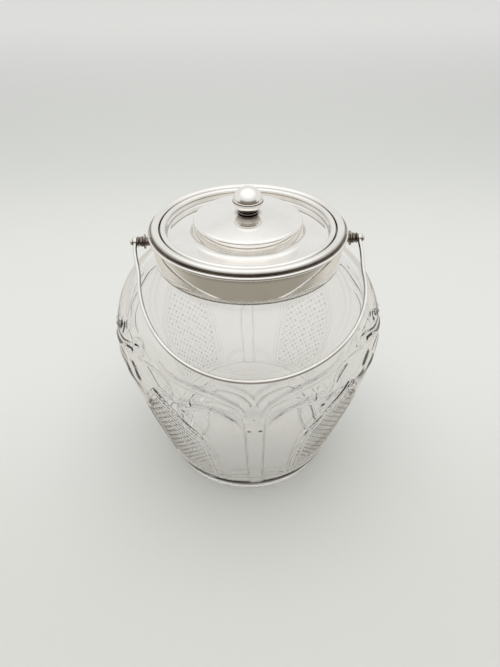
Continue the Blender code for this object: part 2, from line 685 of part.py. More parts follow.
def finial_stud():
    """Return the headed stud that is held in the knob and passes down through the lid."""
    head_bottom = CROWN_HEIGHT + BOWL_BASE + BOWL_FLOOR + CLEARANCE
    tail = CROWN_HEIGHT - LID_SHEET - LID_WASHER_THICKNESS - NUT_THICKNESS - 2 * CLEARANCE - STUD_TAIL
    outline = [
        (0.0, head_bottom + STUD_HEAD_THICKNESS),
        (STUD_HEAD_RADIUS, head_bottom + STUD_HEAD_THICKNESS),
        (STUD_HEAD_RADIUS, head_bottom),
        (STUD_RADIUS, head_bottom),
        (STUD_RADIUS, tail),
        (0.0, tail)]
    return turned("finial_stud", outline, FITTING_STEPS, closed=False)


def lid_washer():
    """Return the washer under the crown of the lid."""
    fall = CROWN_HEIGHT - crown_height(LID_WASHER_RADIUS)
    top = CROWN_HEIGHT - LID_SHEET - fall - CLEARANCE
    return ring("lid_washer", STUD_HOLE_RADIUS, LID_WASHER_RADIUS, top - LID_WASHER_THICKNESS,
                LID_WASHER_THICKNESS, FITTING_STEPS)


def lid_nut(cutters, parent):
    """Return the hexagonal nut on the stud."""
    fall = CROWN_HEIGHT - crown_height(LID_WASHER_RADIUS)
    top = CROWN_HEIGHT - LID_SHEET - fall - LID_WASHER_THICKNESS - 2 * CLEARANCE
    nut = cylinder("lid_nut", NUT_RADIUS, NUT_THICKNESS, segments=6)
    bore = as_guide(cylinder("lid_nut_bore", STUD_HOLE_RADIUS, NUT_THICKNESS + 2 * CUT_OVERRUN), cutters)
    bore.parent = parent
    for obj in (nut, bore):
        obj.location = (0.0, 0.0, top - NUT_THICKNESS / 2)
    combine(nut, bore, "DIFFERENCE")
    return nut


def main():
    """Build the barrel."""
    clear_scene()
    barrel = new_collection("biscuit_barrel")
    cutters = new_collection("cutters")
    glass = finish("clear_glass", (0.92, 0.94, 0.93), 0.03, 0.0, transmission=1.0)
    silver = finish("silver_plate", (0.86, 0.84, 0.81), 0.12, 1.0)
    plaster = finish("plaster", (0.88, 0.86, 0.80), 0.9, 0.0)
    brass = finish("brass", (0.75, 0.58, 0.30), 0.3, 1.0)

    mouldings = new_collection("mouldings")
    for body in relief():
        as_guide(body, mouldings)
    combine_all(place(glass_jar(), barrel, glass), mouldings, "UNION")
    place(plaster_bed(), barrel, plaster)
    place(neck_collar(), barrel, silver)
    place(collar_edge_wire(), barrel, silver)

    collar_form = as_guide(collar_cutter(), cutters)
    for side, word in ((1, "right"), (-1, "left")):
        post = place(pivot_post(f"{word}_pivot_post", side), barrel, silver)
        combine(post, collar_form, "DIFFERENCE")
        washer = ring(f"{word}_pivot_washer", SCREW_HOLE_RADIUS, WASHER_RADIUS, WASHER_START,
                      WASHER_THICKNESS, FITTING_STEPS)
        place(facing_outwards(washer, side), barrel, silver)
        place(pivot_screw(f"{word}_pivot_screw", side), barrel, silver)

    bail_pivot = pivot_point("bail_pivot", PIVOT_HEIGHT, -bail_rest_angle(), barrel)
    bail = place(bail_handle(barrel, cutters), barrel, silver, bail_pivot)
    for modifier in bail.modifiers:
        modifier.object.parent = bail_pivot

    lid_seat = pivot_point("lid_seat", SEAT_HEIGHT, 0.0, barrel)
    for piece in (lid_shell(), lid_bead(), finial_collet(), finial_bowl(), finial_cap()):
        place(piece, barrel, silver, lid_seat)
    for piece in (finial_stud(), lid_washer(), lid_nut(cutters, lid_seat)):
        place(piece, barrel, brass, lid_seat)


main()
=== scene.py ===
"""Looks of a moulded glass biscuit barrel with silver-plated fittings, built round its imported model.

Lengths in the classes are millimetres above the table or out from the jar's axis, and become
metres when a mesh is made. Angles round the jar are degrees from its front towards its right side.
"""

from __future__ import annotations

import json
import logging
import math
from collections.abc import Callable, Sequence
from dataclasses import dataclass
from enum import Enum

import bmesh
import bpy
import numpy as np
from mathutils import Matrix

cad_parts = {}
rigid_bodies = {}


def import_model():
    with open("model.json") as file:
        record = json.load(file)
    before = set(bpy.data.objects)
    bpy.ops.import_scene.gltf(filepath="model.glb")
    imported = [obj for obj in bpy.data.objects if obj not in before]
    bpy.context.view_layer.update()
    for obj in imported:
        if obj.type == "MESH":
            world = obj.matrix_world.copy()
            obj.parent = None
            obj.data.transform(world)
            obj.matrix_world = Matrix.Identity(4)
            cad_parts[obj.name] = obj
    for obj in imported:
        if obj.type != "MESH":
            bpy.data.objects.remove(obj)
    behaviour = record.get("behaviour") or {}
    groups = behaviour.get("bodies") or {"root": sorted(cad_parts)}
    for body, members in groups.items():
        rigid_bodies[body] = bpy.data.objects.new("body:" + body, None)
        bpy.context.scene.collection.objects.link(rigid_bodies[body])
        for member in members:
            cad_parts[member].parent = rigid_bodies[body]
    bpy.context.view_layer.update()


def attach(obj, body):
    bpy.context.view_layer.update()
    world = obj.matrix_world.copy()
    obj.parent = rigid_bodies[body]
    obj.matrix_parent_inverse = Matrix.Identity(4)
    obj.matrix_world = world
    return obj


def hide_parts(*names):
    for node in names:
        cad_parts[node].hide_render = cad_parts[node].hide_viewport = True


MM = 0.001
MERGE_DISTANCE = 1e-7
SHARP_ANGLE = math.radians(50)
ON_AXIS = 1e-6

GAP = 0.3
PLATE_SHEET = 0.8
SEAT_HEIGHT = 170.0
PIVOT_HEIGHT = 161.0
NECK_RADIUS = 51.0
LIP_HEIGHT = 165.0

Point = tuple[float, float]
Outline = list[Point]
Colour = tuple[float, float, float]
Triple = tuple[float, float, float]
# A piece's painted shade and tarnish at a radius and height.
ShadeAndTarnish = Callable[[float, float], float]

log = logging.getLogger("biscuit_barrel")


# Outlines

def arc(centre: Point, radius: float, start: float, end: float, count: int) -> Outline:
    """Return points of a circular arc.

    Args:
        centre: the arc's centre.
        radius: its radius.
        start: the first angle in degrees.
        end: the last angle in degrees.
        count: how many points to give.

    Returns:
        The points from the start angle to the end angle.
    """
    angles = np.radians(np.linspace(start, end, count))
    return [(centre[0] + radius * math.cos(a), centre[1] + radius * math.sin(a)) for a in angles]


def bezier(points: Sequence[Point], count: int) -> Outline:
    """Return points of the cubic curve through four control points.

    Args:
        points: the four control points.
        count: how many points to give.

    Returns:
        The points from the first control point to the last.
    """
    t = np.linspace(0.0, 1.0, count)[:, None]
    a, b, c, d = (np.array(p) for p in points)
    curve = (1 - t) ** 3 * a + 3 * t * (1 - t) ** 2 * b + 3 * t ** 2 * (1 - t) * c + t ** 3 * d
    return [tuple(p) for p in curve]


def offset(points: Sequence[Point], distance: float) -> Outline:
    """Return an outline moved sideways.

    Args:
        points: the outline.
        distance: how far to move it to the right of its direction.

    Returns:
        The moved outline, with as many points.
    """
    path = np.array(points)
    along = np.gradient(path, axis=0)
    along /= np.linalg.norm(along, axis=1)[:, None]
    return [tuple(p) for p in path + distance * np.stack([along[:, 1], -along[:, 0]], axis=1)]


def rounded(corners: Sequence[Triple], steps: int = 6, closed: bool = True) -> Outline:
    """Return an outline whose corners are rounded off.

    Args:
        corners: each corner's radius, height and how far along its sides the rounding starts.
        steps: how many points each rounding has.
        closed: whether the last corner joins the first.

    Returns:
        The rounded outline.
    """
    outline: Outline = []
    count = len(corners)
    for i, (x, z, cut) in enumerate(corners):
        inner = closed or 0 < i < count - 1
        if cut <= 0 or not inner:
            outline.append((x, z))
            continue
        here = np.array([x, z])
        before = np.array(corners[(i - 1) % count][:2]) - here
        after = np.array(corners[(i + 1) % count][:2]) - here
        reach = min(cut, 0.49 * np.linalg.norm(before), 0.49 * np.linalg.norm(after))
        start = here + before / np.linalg.norm(before) * reach
        end = here + after / np.linalg.norm(after) * reach
        for t in np.linspace(0.0, 1.0, steps):
            outline.append(tuple((1 - t) ** 2 * start + 2 * t * (1 - t) * here + t ** 2 * end))
    return outline


def smooth_step(low: float, high: float, value: np.ndarray) -> np.ndarray:
    """Return 0 below low, 1 above high, and a smooth rise between them."""
    t = np.clip((value - low) / (high - low), 0.0, 1.0)
    return t * t * (3 - 2 * t)


def ridge(reach: np.ndarray) -> np.ndarray:
    """Return a rounded ridge's height, which is 1 in its middle and 0 from a reach of 1 on."""
    return np.cos(0.5 * math.pi * np.clip(np.abs(reach), 0.0, 1.0)) ** 2


def smooth_path(points: Sequence[Point], spacing: float = 0.02) -> np.ndarray:
    """Return a smooth curve through points.

    Args:
        points: the points that it passes.
        spacing: the step of its parameter between two points.

    Returns:
        The curve's points, one row each.
    """
    p = np.array(points, float)
    p = np.vstack([2 * p[0] - p[1], p, 2 * p[-1] - p[-2]])
    pieces = []
    t = np.arange(0.0, 1.0, spacing)[:, None]
    for a, b, c, d in zip(p, p[1:], p[2:], p[3:]):
        pieces.append(0.5 * (2 * b + (c - a) * t + (2 * a - 5 * b + 4 * c - d) * t ** 2
                             + (3 * b - a - 3 * c + d) * t ** 3))
    return np.vstack([*pieces, p[-2:-1]])


def around(steps: int) -> np.ndarray:
    """Return evenly spaced angles for one whole turn, in radians."""
    return np.linspace(0.0, 2 * math.pi, steps, endpoint=False)


def between(value: float) -> float:
    """Return a number held between 0 and 1."""
    return min(1.0, max(0.0, value))


# Meshes

def linked(name: str, data: bpy.types.ID) -> bpy.types.Object:
    """Link a mesh, a light or a camera to the scene.

    Args:
        name: the object's name.
        data: what it shows.

    Returns:
        The object, at the origin.
    """
    obj = bpy.data.objects.new(name, data)
    bpy.context.scene.collection.objects.link(obj)
    return obj


def face_outwards(mesh: bpy.types.Mesh, mend: bool = True) -> None:
    """Turn a closed mesh's faces outwards and shade it smooth.

    Args:
        mesh: the mesh.
        mend: whether its doubles are merged first and its sharp edges kept.
    """
    shape = bmesh.new()
    shape.from_mesh(mesh)
    if mend:
        bmesh.ops.remove_doubles(shape, verts=shape.verts, dist=MERGE_DISTANCE)
    bmesh.ops.recalc_face_normals(shape, faces=shape.faces)
    shape.to_mesh(mesh)
    shape.free()
    mesh.shade_smooth()
    if mend:
        mesh.set_sharp_from_angle(angle=SHARP_ANGLE)


def write_field(mesh: bpy.types.Mesh, name: str, values: Sequence[float]) -> None:
    """Write one number for each vertex of a mesh as a named attribute."""
    mesh.attributes.new(name, "FLOAT", "POINT").data.foreach_set("value", np.asarray(values, np.float32))


def add_ring(vertices: list[tuple], radius: float | np.ndarray, height: float,
             angles: np.ndarray) -> list[int]:
    """Add a level ring of vertices, or a single one on the axis.

    Args:
        vertices: the vertices so far, which grow.
        radius: the ring's radius in millimetres, or one for each angle.
        height: its height in millimetres.
        angles: where its vertices stand, from +X towards +Y.

    Returns:
        The new vertices' numbers.
    """
    first = len(vertices)
    if np.max(radius) < ON_AXIS:
        vertices.append((0.0, 0.0, height * MM))
    else:
        reach = np.broadcast_to(radius, angles.shape) * MM
        vertices.extend((r * math.cos(a), r * math.sin(a), height * MM) for r, a in zip(reach, angles))
    return list(range(first, len(vertices)))


def skin(upper: Sequence[int], lower: Sequence[int]) -> list[tuple[int, ...]]:
    """Return the faces between two rings, either of which may be a single vertex.

    Args:
        upper: the upper ring's vertex numbers.
        lower: the lower ring's vertex numbers.

    Returns:
        The faces, or none between two single vertices.
    """
    count = max(len(upper), len(lower))
    faces: list[tuple[int, ...]] = []
    for i in range(count if count > 1 else 0):
        j = (i + 1) % count
        if len(upper) == 1:
            faces.append((upper[0], lower[i], lower[j]))
        elif len(lower) == 1:
            faces.append((upper[i], lower[0], upper[j]))
        else:
            faces.append((upper[i], lower[i], lower[j], upper[j]))
    return faces


def lathe(name: str, outline: Sequence[tuple], steps: int, closed: bool = False) -> bpy.types.Object:
    """Turn an outline into a solid.

    Args:
        name: the piece's name.
        outline: radii and heights in millimetres, from the axis round to the axis.
        steps: how many steps the turn has.
        closed: whether the outline joins its own start instead, as round a hole.

    Returns:
        The closed piece.
    """
    vertices: list[tuple] = []
    rings = [add_ring(vertices, radius, height, around(steps)) for radius, height in outline]
    following = rings[1:] + (rings[:1] if closed else [])
    mesh = bpy.data.meshes.new(name)
    mesh.from_pydata(vertices, [], [face for pair in zip(rings, following) for face in skin(*pair)])
    face_outwards(mesh)
    return linked(name, mesh)


def aim_along_x(obj: bpy.types.Object, side: int) -> bpy.types.Object:
    """Turn a piece made along Z so that it points outwards at a pivot, in its own mesh.

    Args:
        obj: the piece.
        side: 1 for the right pivot and -1 for the left one.

    Returns:
        The same piece.
    """
    place = np.zeros(len(obj.data.vertices) * 3)
    obj.data.vertices.foreach_get("co", place)
    x, y, z = place.reshape(-1, 3).T
    turned = np.stack([side * z, y, PIVOT_HEIGHT * MM - side * x], axis=1)
    obj.data.vertices.foreach_set("co", turned.ravel())
    obj.data.update()
    return obj


# Node trees

class Tree:
    """A node tree under construction, for a material, the world or Geometry Nodes."""

    def __init__(self, tree: bpy.types.NodeTree) -> None:
        """Keep the tree at hand."""
        self.tree = tree

    def feed(self, node: bpy.types.Node, inputs: dict) -> None:
        """Set a node's inputs.

        Args:
            node: the node.
            inputs: what its inputs take, by name or number: an output socket or a plain value.
        """
        for key, value in inputs.items():
            if isinstance(value, bpy.types.NodeSocket):
                self.tree.links.new(value, node.inputs[key])
            else:
                node.inputs[key].default_value = value

    def add(self, kind: str, inputs: dict | None = None, **settings: object) -> bpy.types.Node:
        """Add a node.

        Args:
            kind: the node's type.
            inputs: what its inputs take.
            settings: its properties.

        Returns:
            The node.
        """
        node = self.tree.nodes.new(kind)
        for key, value in settings.items():
            setattr(node, key, value)
        self.feed(node, inputs or {})
        return node

    def maths(self, operation: str, *values: object) -> bpy.types.NodeSocket:
        """Return the output of a Math node on plain numbers or sockets."""
        return self.add("ShaderNodeMath", dict(enumerate(values)), operation=operation).outputs[0]

    def blend(self, share: object, first: object, second: object) -> bpy.types.NodeSocket:
        """Return a mix of two colours by a share."""
        first, second = (rgba(colour) if isinstance(colour, tuple) else colour for colour in (first, second))
        return self.add("ShaderNodeMix", {0: share, 6: first, 7: second}, data_type="RGBA").outputs[2]

    def spread(self, value: object, low: float, high: float, to_low: float = 0.0,
               to_high: float = 1.0) -> bpy.types.NodeSocket:
        """Return a value carried smoothly from one range to another."""
        ranges = {"Value": value, "From Min": low, "From Max": high, "To Min": to_low, "To Max": to_high}
        return self.add("ShaderNodeMapRange", ranges, interpolation_type="SMOOTHSTEP").outputs["Result"]

    def noise(self, vector: object, scale: float, detail: float, roughness: float) -> bpy.types.NodeSocket:
        """Return a noise value over a vector."""
        look = {"Vector": vector, "Scale": scale, "Detail": detail, "Roughness": roughness}
        return self.add("ShaderNodeTexNoise", look).outputs["Fac"]

    def field(self, name: str) -> bpy.types.NodeSocket:
        """Return the value of a mesh's named attribute in a material."""
        return self.add("ShaderNodeAttribute", attribute_name=name).outputs["Fac"]


def rgba(colour: Colour) -> tuple[float, float, float, float]:
    """Return a colour with full alpha."""
    return (*colour, 1.0)


class Surface:
    """A material under construction, patterned on the piece's own coordinates."""

    def __init__(self, name: str) -> None:
        """Start the material with its shader.

        Args:
            name: the material's name.
        """
        self.material = bpy.data.materials.new(name)
        self.material.use_nodes = True
        self.tree = Tree(self.material.node_tree)
        self.shader = self.material.node_tree.nodes["Principled BSDF"]
        self.place = self.tree.add("ShaderNodeTexCoord").outputs["Object"]
        self.parts = self.tree.add("ShaderNodeSeparateXYZ", {0: self.place}).outputs

    def cover(self, share: bpy.types.NodeSocket, other: bpy.types.Node) -> None:
        """Mix another shader over this one by a share."""
        mix = self.tree.add("ShaderNodeMixShader", {0: share, 1: self.shader.outputs[0], 2: other.outputs[0]})
        self.tree.feed(self.material.node_tree.nodes["Material Output"], {"Surface": mix.outputs[0]})

    def finished(self, inputs: dict, height: bpy.types.NodeSocket, depth: float,
                 strength: float = 1.0) -> bpy.types.Material:
        """Feed the shader and give it its bump.

        Args:
            inputs: what the shader's inputs take.
            height: the bump's pattern.
            depth: how far it stands, in metres.
            strength: its share of that depth.

        Returns:
            The material.
        """
        bump = self.tree.add("ShaderNodeBump", {"Height": height, "Strength": strength, "Distance": depth})
        self.tree.feed(self.shader, inputs | {"Normal": bump.outputs["Normal"]})
        return self.material


# Finishes

@dataclass(frozen=True)
class ClearGlass:
    """Fire-polished moulded glass with faint ripples, a worn foot and painted shade in the creases of its
    relief.
    """

    tint: Colour = (0.998, 0.996, 0.993)
    darker: float = 0.985
    shade_scale: float = 9.0
    refraction: float = 1.5
    haze_scale: float = 140.0
    haze: float = 0.012
    ripple_scale: float = 55.0
    ripple_depth: float = 0.00012
    worn_height: float = 3.0
    wear: float = 0.35
    # Dark colour of the painted shade in the relief's creases, pits and between the studs.
    painted_shade: Colour = (0.15, 0.135, 0.12)
    shadow: Colour = (0.97, 0.965, 0.96)
    edge_shadow: Colour = (0.78, 0.765, 0.75)
    edge_width: float = 0.35

    def material(self) -> bpy.types.Material:
        """Make the glass, which lets lamps through with a light shadow.

        Returns:
            The material.
        """
        look = Surface("clear_glass")
        tree = look.tree
        haze = tree.noise(look.place, self.haze_scale, 4.0, 0.6)
        at_foot = tree.spread(look.parts["Z"], 0.0, self.worn_height * MM, 1.0, 0.0)
        worn = tree.maths("MULTIPLY", at_foot, haze)
        rough = tree.maths("ADD", tree.spread(haze, 0.55, 0.8, 0.0, self.haze),
                           tree.maths("MULTIPLY", worn, self.wear))
        tint = tree.blend(tree.noise(look.place, self.shade_scale, 2.0, 0.5), self.tint,
                          tuple(part * self.darker for part in self.tint))
        facing = tree.add("ShaderNodeLayerWeight", {"Blend": self.edge_width}).outputs["Facing"]
        shade = tree.blend(facing, self.shadow, self.edge_shadow)
        look.cover(tree.add("ShaderNodeLightPath").outputs["Is Shadow Ray"],
                   tree.add("ShaderNodeBsdfTransparent", {"Color": shade}))
        # The base colour darkens towards the dark shade colour by the jar's attribute: painted shade in the
        # relief's creases and pits.
        return look.finished(
            {"Base Color": tree.blend(tree.field("painted_shade"), tint, self.painted_shade), "Roughness": rough,
             "IOR": self.refraction, "Transmission Weight": 1.0},
            tree.noise(look.place, self.ripple_scale, 1.0, 0.4), self.ripple_depth)


class Grain(Enum):
    """Which way a metal piece was polished."""

    ROUND_UPRIGHT = "round the jar's axis"
    ROUND_PIVOT = "round the pivots' axis"
    ANY = "no one way"


@dataclass(frozen=True)
class SilverPlate:
    """Polished silver plate with fine polishing lines, smears, and painted shade with some tarnish in
    crevices and on shaded sides.
    """

    colour: Colour = (0.93, 0.915, 0.89)
    warm: Colour = (0.88, 0.855, 0.82)
    # The dark brown of the painted shade and tarnish: in crevices, under parts and on the pivots' and bail's
    # shaded sides.
    shade_and_tarnish: Colour = (0.13, 0.095, 0.07)
    polish: float = 0.015
    smear: float = 0.05
    smear_scale: float = 48.0
    line_scale: float = 2600.0
    line_depth: float = 1.2e-7
    scratch: float = 0.04
    scratch_turn: Triple = (0.3, 0.2, 0.7)
    scratch_scale: Triple = (60.0, 1400.0, 700.0)
    dull_roughness: float = 0.1
    # Where the pivots' painted shade lies: how far out the screw's head starts, and the fades down the post
    # and the head.
    head_start: Point = (64.5, 65.5)
    post_fade: tuple[float, ...] = (0.0026, 0.0042, 0.98, 0.6)
    head_fade: tuple[float, ...] = (-0.0006, 0.0008, 0.95, 0.1)

    def pivot_shade_and_tarnish(self, tree: Tree, out: bpy.types.NodeSocket,
                   drop: bpy.types.NodeSocket) -> bpy.types.NodeSocket:
        """Make the pivots' tarnish and painted shade: nearly all of the post, and painted shade on the lower
        half of the screw's head.

        Args:
            tree: the material's tree.
            out: the distance out along the pivots' axis.
            drop: the height over that axis.

        Returns:
            The painted shade and tarnish, from 0 to 1.
        """
        start, end = (place * MM for place in self.head_start)
        post, head = tree.spread(drop, *self.post_fade), tree.spread(drop, *self.head_fade)
        off_head = tree.spread(tree.maths("ABSOLUTE", out), start, end, 1.0, 0.0)
        return tree.maths("MAXIMUM", head, tree.maths("MULTIPLY", post, off_head))

    def material(self, grain: Grain) -> bpy.types.Material:
        """Make the plate for one direction of polishing.

        Args:
            grain: which way the piece was polished.

        Returns:
            The material.
        """
        look = Surface(f"silver_plate_{grain.name.lower()}")
        tree, parts = look.tree, look.parts
        # The dark mask is painted shade with some tarnish: on the pivots it follows the height below their
        # axis, elsewhere each piece's attribute.
        if grain is Grain.ROUND_PIVOT:
            drop = tree.maths("SUBTRACT", parts["Z"], PIVOT_HEIGHT * MM)
            shade_and_tarnish, across, along = self.pivot_shade_and_tarnish(tree, parts["X"], drop), (parts["Y"], drop), parts["X"]
        else:
            shade_and_tarnish, across, along = tree.field("shade_and_tarnish"), (parts["X"], parts["Y"]), parts["Z"]
        rings = look.place
        if grain is not Grain.ANY:
            squares = (tree.maths("MULTIPLY", part, part) for part in across)
            radius = tree.maths("SQRT", tree.maths("ADD", *squares))
            rings = tree.add("ShaderNodeCombineXYZ", {0: radius, 1: along}).outputs[0]
        smears = tree.noise(look.place, self.smear_scale, 4.0, 0.62)
        turned = tree.add("ShaderNodeMapping", {"Vector": look.place, "Rotation": self.scratch_turn,
                                                "Scale": self.scratch_scale}).outputs[0]
        scratches = tree.spread(tree.noise(turned, 1.0, 1.0, 0.4), 0.62, 0.72)
        # Painted shade and tarnish, broken up by the smears, darken the colour and roughen the plate.
        shade_patches = tree.maths("MULTIPLY", shade_and_tarnish, tree.spread(smears, 0.25, 0.7, 0.75, 1.0))
        base = tree.blend(tree.spread(smears, 0.35, 0.7), self.colour, self.warm)
        haze = tree.maths("ADD", tree.spread(smears, 0.5, 0.78, self.polish, self.smear),
                          tree.maths("MULTIPLY", scratches, self.scratch))
        rough = tree.maths("ADD", haze, tree.maths("MULTIPLY", shade_patches, self.dull_roughness))
        return look.finished({"Base Color": tree.blend(shade_patches, base, self.shade_and_tarnish), "Roughness": rough,
                              "Metallic": 1.0}, tree.noise(rings, self.line_scale, 3.0, 0.7), self.line_depth)


@dataclass(frozen=True)
class Plaster:
    """Dull white plaster with pores."""

    colour: Colour = (0.80, 0.78, 0.72)
    stain: Colour = (0.60, 0.56, 0.48)
    stain_scale: float = 120.0
    pore_scale: float = 900.0
    pore_depth: float = 0.0002

    def material(self) -> bpy.types.Material:
        """Make the plaster.

        Returns:
            The material.
        """
        look = Surface("plaster")
        tree = look.tree
        pores = tree.noise(look.place, self.pore_scale, 4.0, 0.6)
        stains = tree.noise(look.place, self.stain_scale, 3.0, 0.5)
        rough = tree.spread(pores, 0.3, 0.7, 0.8, 0.95)
        return look.finished({"Base Color": tree.blend(stains, self.colour, self.stain), "Roughness": rough},
                             pores, self.pore_depth, 0.6)


@dataclass(frozen=True)
class Brass:
    """Turned brass that has darkened a little."""

    colour: Colour = (0.78, 0.60, 0.30)
    dark: Colour = (0.45, 0.32, 0.16)
    patch_scale: float = 260.0
    line_scale: float = 3000.0
    line_depth: float = 0.00001

    def material(self) -> bpy.types.Material:
        """Make the brass.

        Returns:
            The material.
        """
        look = Surface("brass")
        tree = look.tree
        level = tree.add("ShaderNodeCombineXYZ", {2: look.parts["Z"]}).outputs[0]
        patches = tree.noise(look.place, self.patch_scale, 4.0, 0.6)
        colour = tree.blend(tree.spread(patches, 0.4, 0.75), self.colour, self.dark)
        rough = tree.spread(patches, 0.3, 0.8, 0.22, 0.45)
        return look.finished({"Base Color": colour, "Roughness": rough, "Metallic": 1.0},
                             tree.noise(level, self.line_scale, 3.0, 0.7), self.line_depth, 0.5)


@dataclass(frozen=True)
class Finishes:
    """The materials that the pieces are dressed in."""

    glass: bpy.types.Material
    turned: bpy.types.Material
    pivot: bpy.types.Material
    drawn: bpy.types.Material
    plaster: bpy.types.Material
    brass: bpy.types.Material

    @classmethod
    def made(cls) -> Finishes:
        """Make every finish once.

        Returns:
            The finishes.
        """
        silver = SilverPlate()
        # The bail's plate is a darker copy of the silver plate: painted shade over the whole wire.
        worn = SilverPlate(colour=(0.83, 0.82, 0.80), warm=(0.74, 0.725, 0.69))
        return cls(ClearGlass().material(), silver.material(Grain.ROUND_UPRIGHT),
                   silver.material(Grain.ROUND_PIVOT), worn.material(Grain.ANY), Plaster().material(),
                   Brass().material())


def keep(obj: bpy.types.Object, node: str, body: str, finish: bpy.types.Material) -> None:
    """Dress a finished piece and let it stand for a CAD node.

    Args:
        obj: the piece.
        node: the CAD node that it stands for.
        body: the body that it rides on.
        finish: its material.
    """
    obj.data.materials.clear()
    obj.data.materials.append(finish)
    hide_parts(node)
    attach(obj, body)
    log.info("%s: %d faces on body %s", obj.name, len(obj.data.polygons), body)


# Geometry Nodes

class Recipe:
    """A Geometry Nodes tree with named inputs, which ends in plain geometry in its finish."""

    def __init__(self, name: str, source: str, sizes: dict[str, str]) -> None:
        """Open the tree.

        Args:
            name: the tree's name.
            source: the name of the geometry that it takes.
            sizes: the name and the kind of socket of each size that it takes.
        """
        self.group = bpy.data.node_groups.new(name, "GeometryNodeTree")
        face = self.group.interface
        face.new_socket(source, in_out="INPUT", socket_type="NodeSocketGeometry")
        self.inputs = {word: face.new_socket(word, in_out="INPUT", socket_type=f"NodeSocket{kind}").identifier
                       for word, kind in (sizes | {"Finish": "Material"}).items()}
        face.new_socket("Piece", in_out="OUTPUT", socket_type="NodeSocketGeometry")
        self.tree = Tree(self.group)
        self.given = self.tree.add("NodeGroupInput").outputs

    def sweep(self, path: bpy.types.Node, profile: bpy.types.Node, more: dict | None = None) -> None:
        """End the tree with a profile carried along a path.

        Args:
            path: the node that gives the path.
            profile: the node that gives the profile.
            more: further inputs of the Curve to Mesh node.
        """
        ends = {"Curve": path.outputs[0], "Profile Curve": profile.outputs[0]}
        swept = self.tree.add("GeometryNodeCurveToMesh", ends | (more or {}))
        self.close(self.tree.add("GeometryNodeSetShadeSmooth", {"Geometry": swept.outputs[0]}))

    def close(self, last: bpy.types.Node) -> None:
        """End the tree with plain geometry in its finish.

        Args:
            last: the node that gives the geometry.
        """
        real = self.tree.add("GeometryNodeRealizeInstances", {"Geometry": last.outputs[0]})
        dress = {"Geometry": real.outputs[0], "Material": self.given["Finish"]}
        dressed = self.tree.add("GeometryNodeSetMaterial", dress)
        self.tree.add("NodeGroupOutput", {0: dressed.outputs[0]})

    def run(self, name: str, carrier: bpy.types.Object, values: dict) -> bpy.types.Object:
        """Run the tree on a carrier and drop the carrier.

        Args:
            name: the piece's name.
            carrier: the object whose mesh the tree takes.
            values: what the tree's named inputs get.

        Returns:
            The piece as a plain mesh object.
        """
        modifier = carrier.modifiers.new(self.group.name, "NODES")
        modifier.node_group = self.group
        for word, value in values.items():
            modifier[self.inputs[word]] = value
        graph = bpy.context.evaluated_depsgraph_get()
        mesh = bpy.data.meshes.new_from_object(carrier.evaluated_get(graph))
        mesh.name = name
        carrier.modifiers.clear()
        bpy.data.objects.remove(carrier, do_unlink=True)
        return linked(name, mesh)


class RingSweep(Recipe):
    """A node tree that sweeps a closed profile round a ring."""

    def __init__(self) -> None:
        """Build the tree."""
        super().__init__("ring_sweep", "Profile", {"Ring Radius": "Float", "Steps": "Int"})
        self.sweep(self.tree.add("GeometryNodeCurvePrimitiveCircle", {"Resolution": self.given["Steps"],
                                                                      "Radius": self.given["Ring Radius"]}),
                   self.tree.add("GeometryNodeMeshToCurve", {"Mesh": self.given["Profile"]}))

    def ring(self, name: str, outline: Sequence[Point], steps: int, finish: bpy.types.Material,
             shade_and_tarnish: ShadeAndTarnish | None = None) -> bpy.types.Object:
        """Sweep an outline round the jar's axis.

        Args:
            name: the piece's name.
            outline: radii and heights in millimetres, down the outer side and back up the inner one.
            steps: how many steps the ring has.
            finish: its material.
            shade_and_tarnish: how much painted shade and tarnish the plate has at a radius and height, from 0
                to 1.

        Returns:
            The ring as a plain mesh object.
        """
        count = len(outline)
        radius = sum(point[0] for point in outline) / count
        mesh = bpy.data.meshes.new(f"{name}_profile")
        mesh.from_pydata([((r - radius) * MM, -z * MM, 0.0) for r, z in outline],
                         [(i, (i + 1) % count) for i in range(count)], [])
        # Painted shade and tarnish, one value for each outline point.
        if shade_and_tarnish is not None:
            write_field(mesh, "shade_and_tarnish", [shade_and_tarnish(r, z) for r, z in outline])
        made = self.run(name, linked(mesh.name, mesh),
                        {"Ring Radius": radius * MM, "Steps": steps, "Finish": finish})
        face_outwards(made.data)
        return made


class WireSweep(Recipe):
    """A node tree that runs a round wire along a path, thicker where the path says so."""

    def __init__(self) -> None:
        """Build the tree."""
        super().__init__("wire_sweep", "Path", {"Wire Radius": "Float", "Sides": "Int"})
        size = self.tree.add("GeometryNodeInputNamedAttribute", {"Name": "size"}, data_type="FLOAT")
        self.sweep(self.tree.add("GeometryNodeMeshToCurve", {"Mesh": self.given["Path"]}),
                   self.tree.add("GeometryNodeCurvePrimitiveCircle", {"Resolution": self.given["Sides"],
                                                                      "Radius": self.given["Wire Radius"]}),
                   {"Scale": size.outputs[0], "Fill Caps": True})

    def wire(self, name: str, path: np.ndarray, sizes: np.ndarray, radius: float, sides: int,
             finish: bpy.types.Material) -> bpy.types.Object:
        """Run a wire along a path.

        Args:
            name: the piece's name.
            path: the wire's centre line in millimetres.
            sizes: the wire's thickness at each point, as a share of its radius.
            radius: its radius in millimetres.
            sides: how many sides its section has.
            finish: its material.

        Returns:
            The wire as a plain mesh object.
        """
        mesh = bpy.data.meshes.new(f"{name}_path")
        mesh.from_pydata([tuple(p) for p in path * MM], [(i, i + 1) for i in range(len(path) - 1)], [])
        write_field(mesh, "size", sizes)
        return self.run(name, linked(mesh.name, mesh),
                        {"Wire Radius": radius * MM, "Sides": sides, "Finish": finish})


